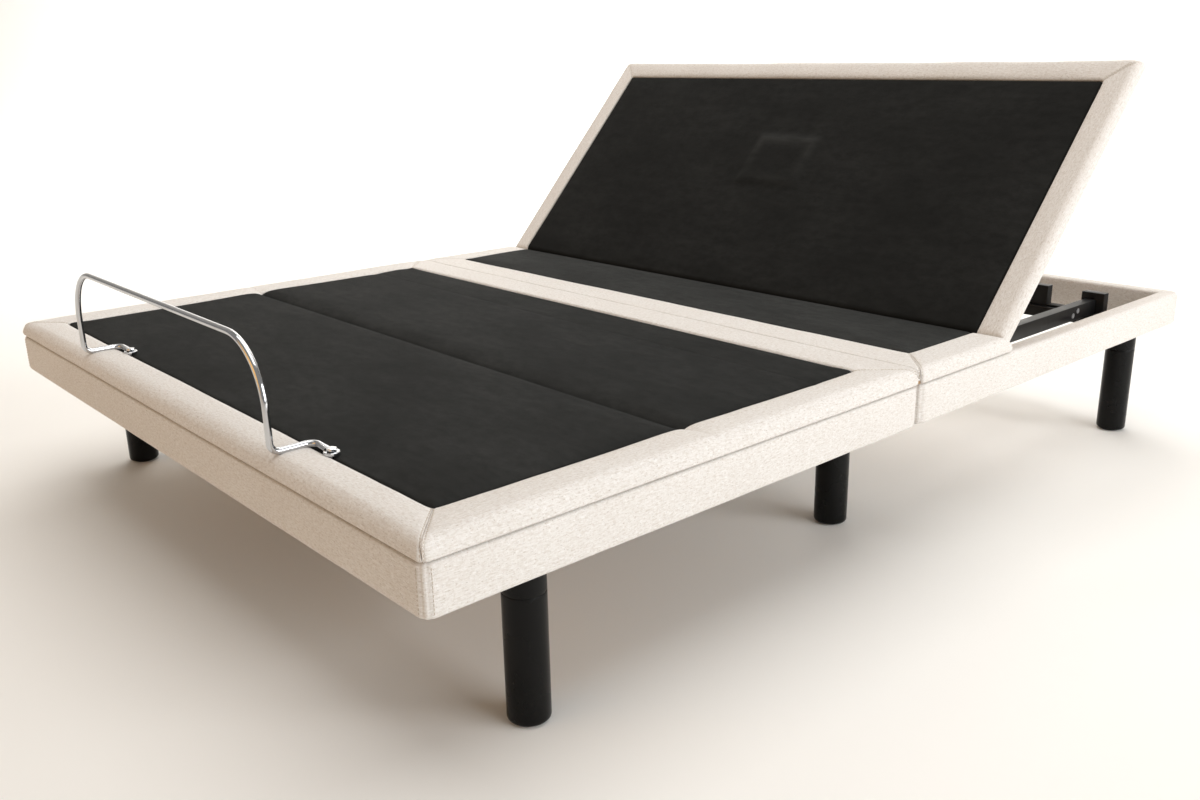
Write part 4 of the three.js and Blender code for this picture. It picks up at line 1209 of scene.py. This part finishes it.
def swept_rod(bm, path, radius, flatten):
    """A round rod along a path. flatten(distance from the nearer end) gives (width, height) factors."""
    lengths = run_lengths(path)
    rings = []
    tangent = (path[1] - path[0]).normalized()
    side = tangent.cross(Vector((0, 0, 1))).normalized()
    for i, point in enumerate(path):
        new_tangent = (path[min(i + 1, len(path) - 1)] - path[max(i - 1, 0)]).normalized()
        side = (tangent.rotation_difference(new_tangent) @ side).normalized()
        tangent = new_tangent
        lift = side.cross(tangent).normalized()
        wide, high = flatten(min(lengths[i], lengths[-1] - lengths[i]))
        made = bmesh.ops.create_circle(bm, segments=20, radius=radius)["verts"]
        basis = Matrix((side * wide, lift * high, tangent)).transposed().to_4x4()
        bmesh.ops.transform(bm, matrix=Matrix.Translation(point) @ basis, verts=made)
        rings.append([e for e in bm.edges if e.verts[0] in made and e.verts[1] in made])
    for first, second in zip(rings, rings[1:]):
        bmesh.ops.bridge_loops(bm, edges=first + second)
    bmesh.ops.holes_fill(bm, edges=rings[0] + rings[-1])


def make_retainer():
    """The bent rod, flattened where it joins the eye that each bolt goes through."""
    feet = [Vector((side * BAR_HALF + BAR_REACH, BAR_FOOT_Y, BAR_REST)) for side in (1, -1)]
    corners = ((BAR_FOOT_Y, BAR_REST), (BAR_Y, BAR_REST), (BAR_Y, BAR_TOP))
    right, left = ([Vector((side * BAR_HALF, y, z)) for y, z in corners] for side in (1, -1))
    inset = Vector((BAR_END_FROM_EYE, 0, 0))
    bends = [BAR_BEND, BAR_BEND, BAR_TOP_BEND, BAR_TOP_BEND, BAR_BEND, BAR_BEND]
    path = rounded_path([feet[0] - inset, *right, *reversed(left), feet[1] - inset], bends)
    bm = bmesh.new()

    def flatten(distance):
        t = 1 - ease(distance, 0.0, FLATTENED_RUN)
        return 1 + 0.45 * t, 1 - 0.5 * t

    swept_rod(bm, path, BAR_RADIUS, flatten)
    eye_top = BAR_BOTTOM + EYE_THICKNESS
    outline = [(EYE_HOLE, BAR_BOTTOM), (EYE_RADIUS - EYE_RIM, BAR_BOTTOM), (EYE_RADIUS, BAR_BOTTOM + EYE_RIM),
               (EYE_RADIUS, eye_top - EYE_RIM), (EYE_RADIUS - EYE_RIM, eye_top), (EYE_HOLE, eye_top)]
    for foot in feet:
        eye = turned(bm, outline, 40, closed=True)
        bmesh.ops.translate(bm, verts=eye, vec=(foot.x, foot.y, 0))
    closed_up(bm)
    bar = add_object("retainer_bar_bent", piece_mesh(bm, 35), CHROME, "chrome", "calf_deck")
    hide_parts("retainer_bar")


make_retainer()

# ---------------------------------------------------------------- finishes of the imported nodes

NODE_FINISHES = (
    (("_board",), PLYWOOD),
    (("_hinge",), ZINC),
    (("_bolt",), CHROME),
    (("_roller", "_glide"), NYLON),
    (("_actuator_rod",), STEEL_ROD),
    (("_motor", "_actuator_body", "control_box", "power_supply"), BLACK_PLASTIC),
    (("_tube", "_rest", "_shaft", "_arm", "_bracket"), BLACK_STEEL),
)
WELD_DISTANCE = 0.00001
SOFT_EDGE = 0.0009


def finish_node(node, obj):
    """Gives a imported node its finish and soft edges."""
    for endings, material in NODE_FINISHES:
        if node.endswith(endings):
            obj.data.materials.clear()
            obj.data.materials.append(material)
    weld = obj.modifiers.new("weld", "WELD")
    weld.merge_threshold = WELD_DISTANCE
    bevel = obj.modifiers.new("soft_edges", "BEVEL")
    bevel.width = SOFT_EDGE
    bevel.segments = 2
    bevel.limit_method = "ANGLE"
    bevel.angle_limit = math.radians(40)
    bevel.harden_normals = True
    obj.data.shade_smooth()
    obj.data.set_sharp_from_angle(angle=math.radians(35))


for node_name, node_object in frame["nodes"].items():
    if not node_object.hide_render:
        finish_node(node_name, node_object)

# ---------------------------------------------------------------- floor

FLOOR_HALF, FLOOR_FRONT, FLOOR_RUN = 16, -10.0, 5.0
SWEEP_RADIUS = 4.0
SWEEP_END = FLOOR_RUN + SWEEP_RADIUS * math.pi / 2
WALL_END = 22.0


def on_sweep(across, along):
    """A level floor that sweeps up into a wall behind the bed."""
    if along <= FLOOR_RUN:
        flat, height = along, 0.0
    elif along <= SWEEP_END:
        angle = (along - FLOOR_RUN) / SWEEP_RADIUS
        flat, height = FLOOR_RUN + SWEEP_RADIUS * math.sin(angle), SWEEP_RADIUS * (1 - math.cos(angle))
    else:
        flat, height = FLOOR_RUN + SWEEP_RADIUS, SWEEP_RADIUS + along - SWEEP_END
    return Vector((math.cos(CAMERA_YAW) * across - math.sin(CAMERA_YAW) * flat,
                   math.sin(CAMERA_YAW) * across + math.cos(CAMERA_YAW) * flat, height))


def make_floor():
    s = Shader("pale_floor", (0.88, 0.862, 0.825), Roughness=0.75)
    s.feed("Roughness", s.between(s.noise(s.on_piece(), 3), 0.3, 0.7, 0.7, 0.8))
    along = [FLOOR_FRONT] + steps(0.0, FLOOR_RUN, 1.0) + steps(FLOOR_RUN, SWEEP_END, 0.3)[1:] + [WALL_END]
    bm = shaped_grid(steps(-FLOOR_HALF, FLOOR_HALF, 4.0), along, on_sweep)
    facing_up(bm)
    floor = add_object("floor", piece_mesh(bm), s.material)


make_floor()
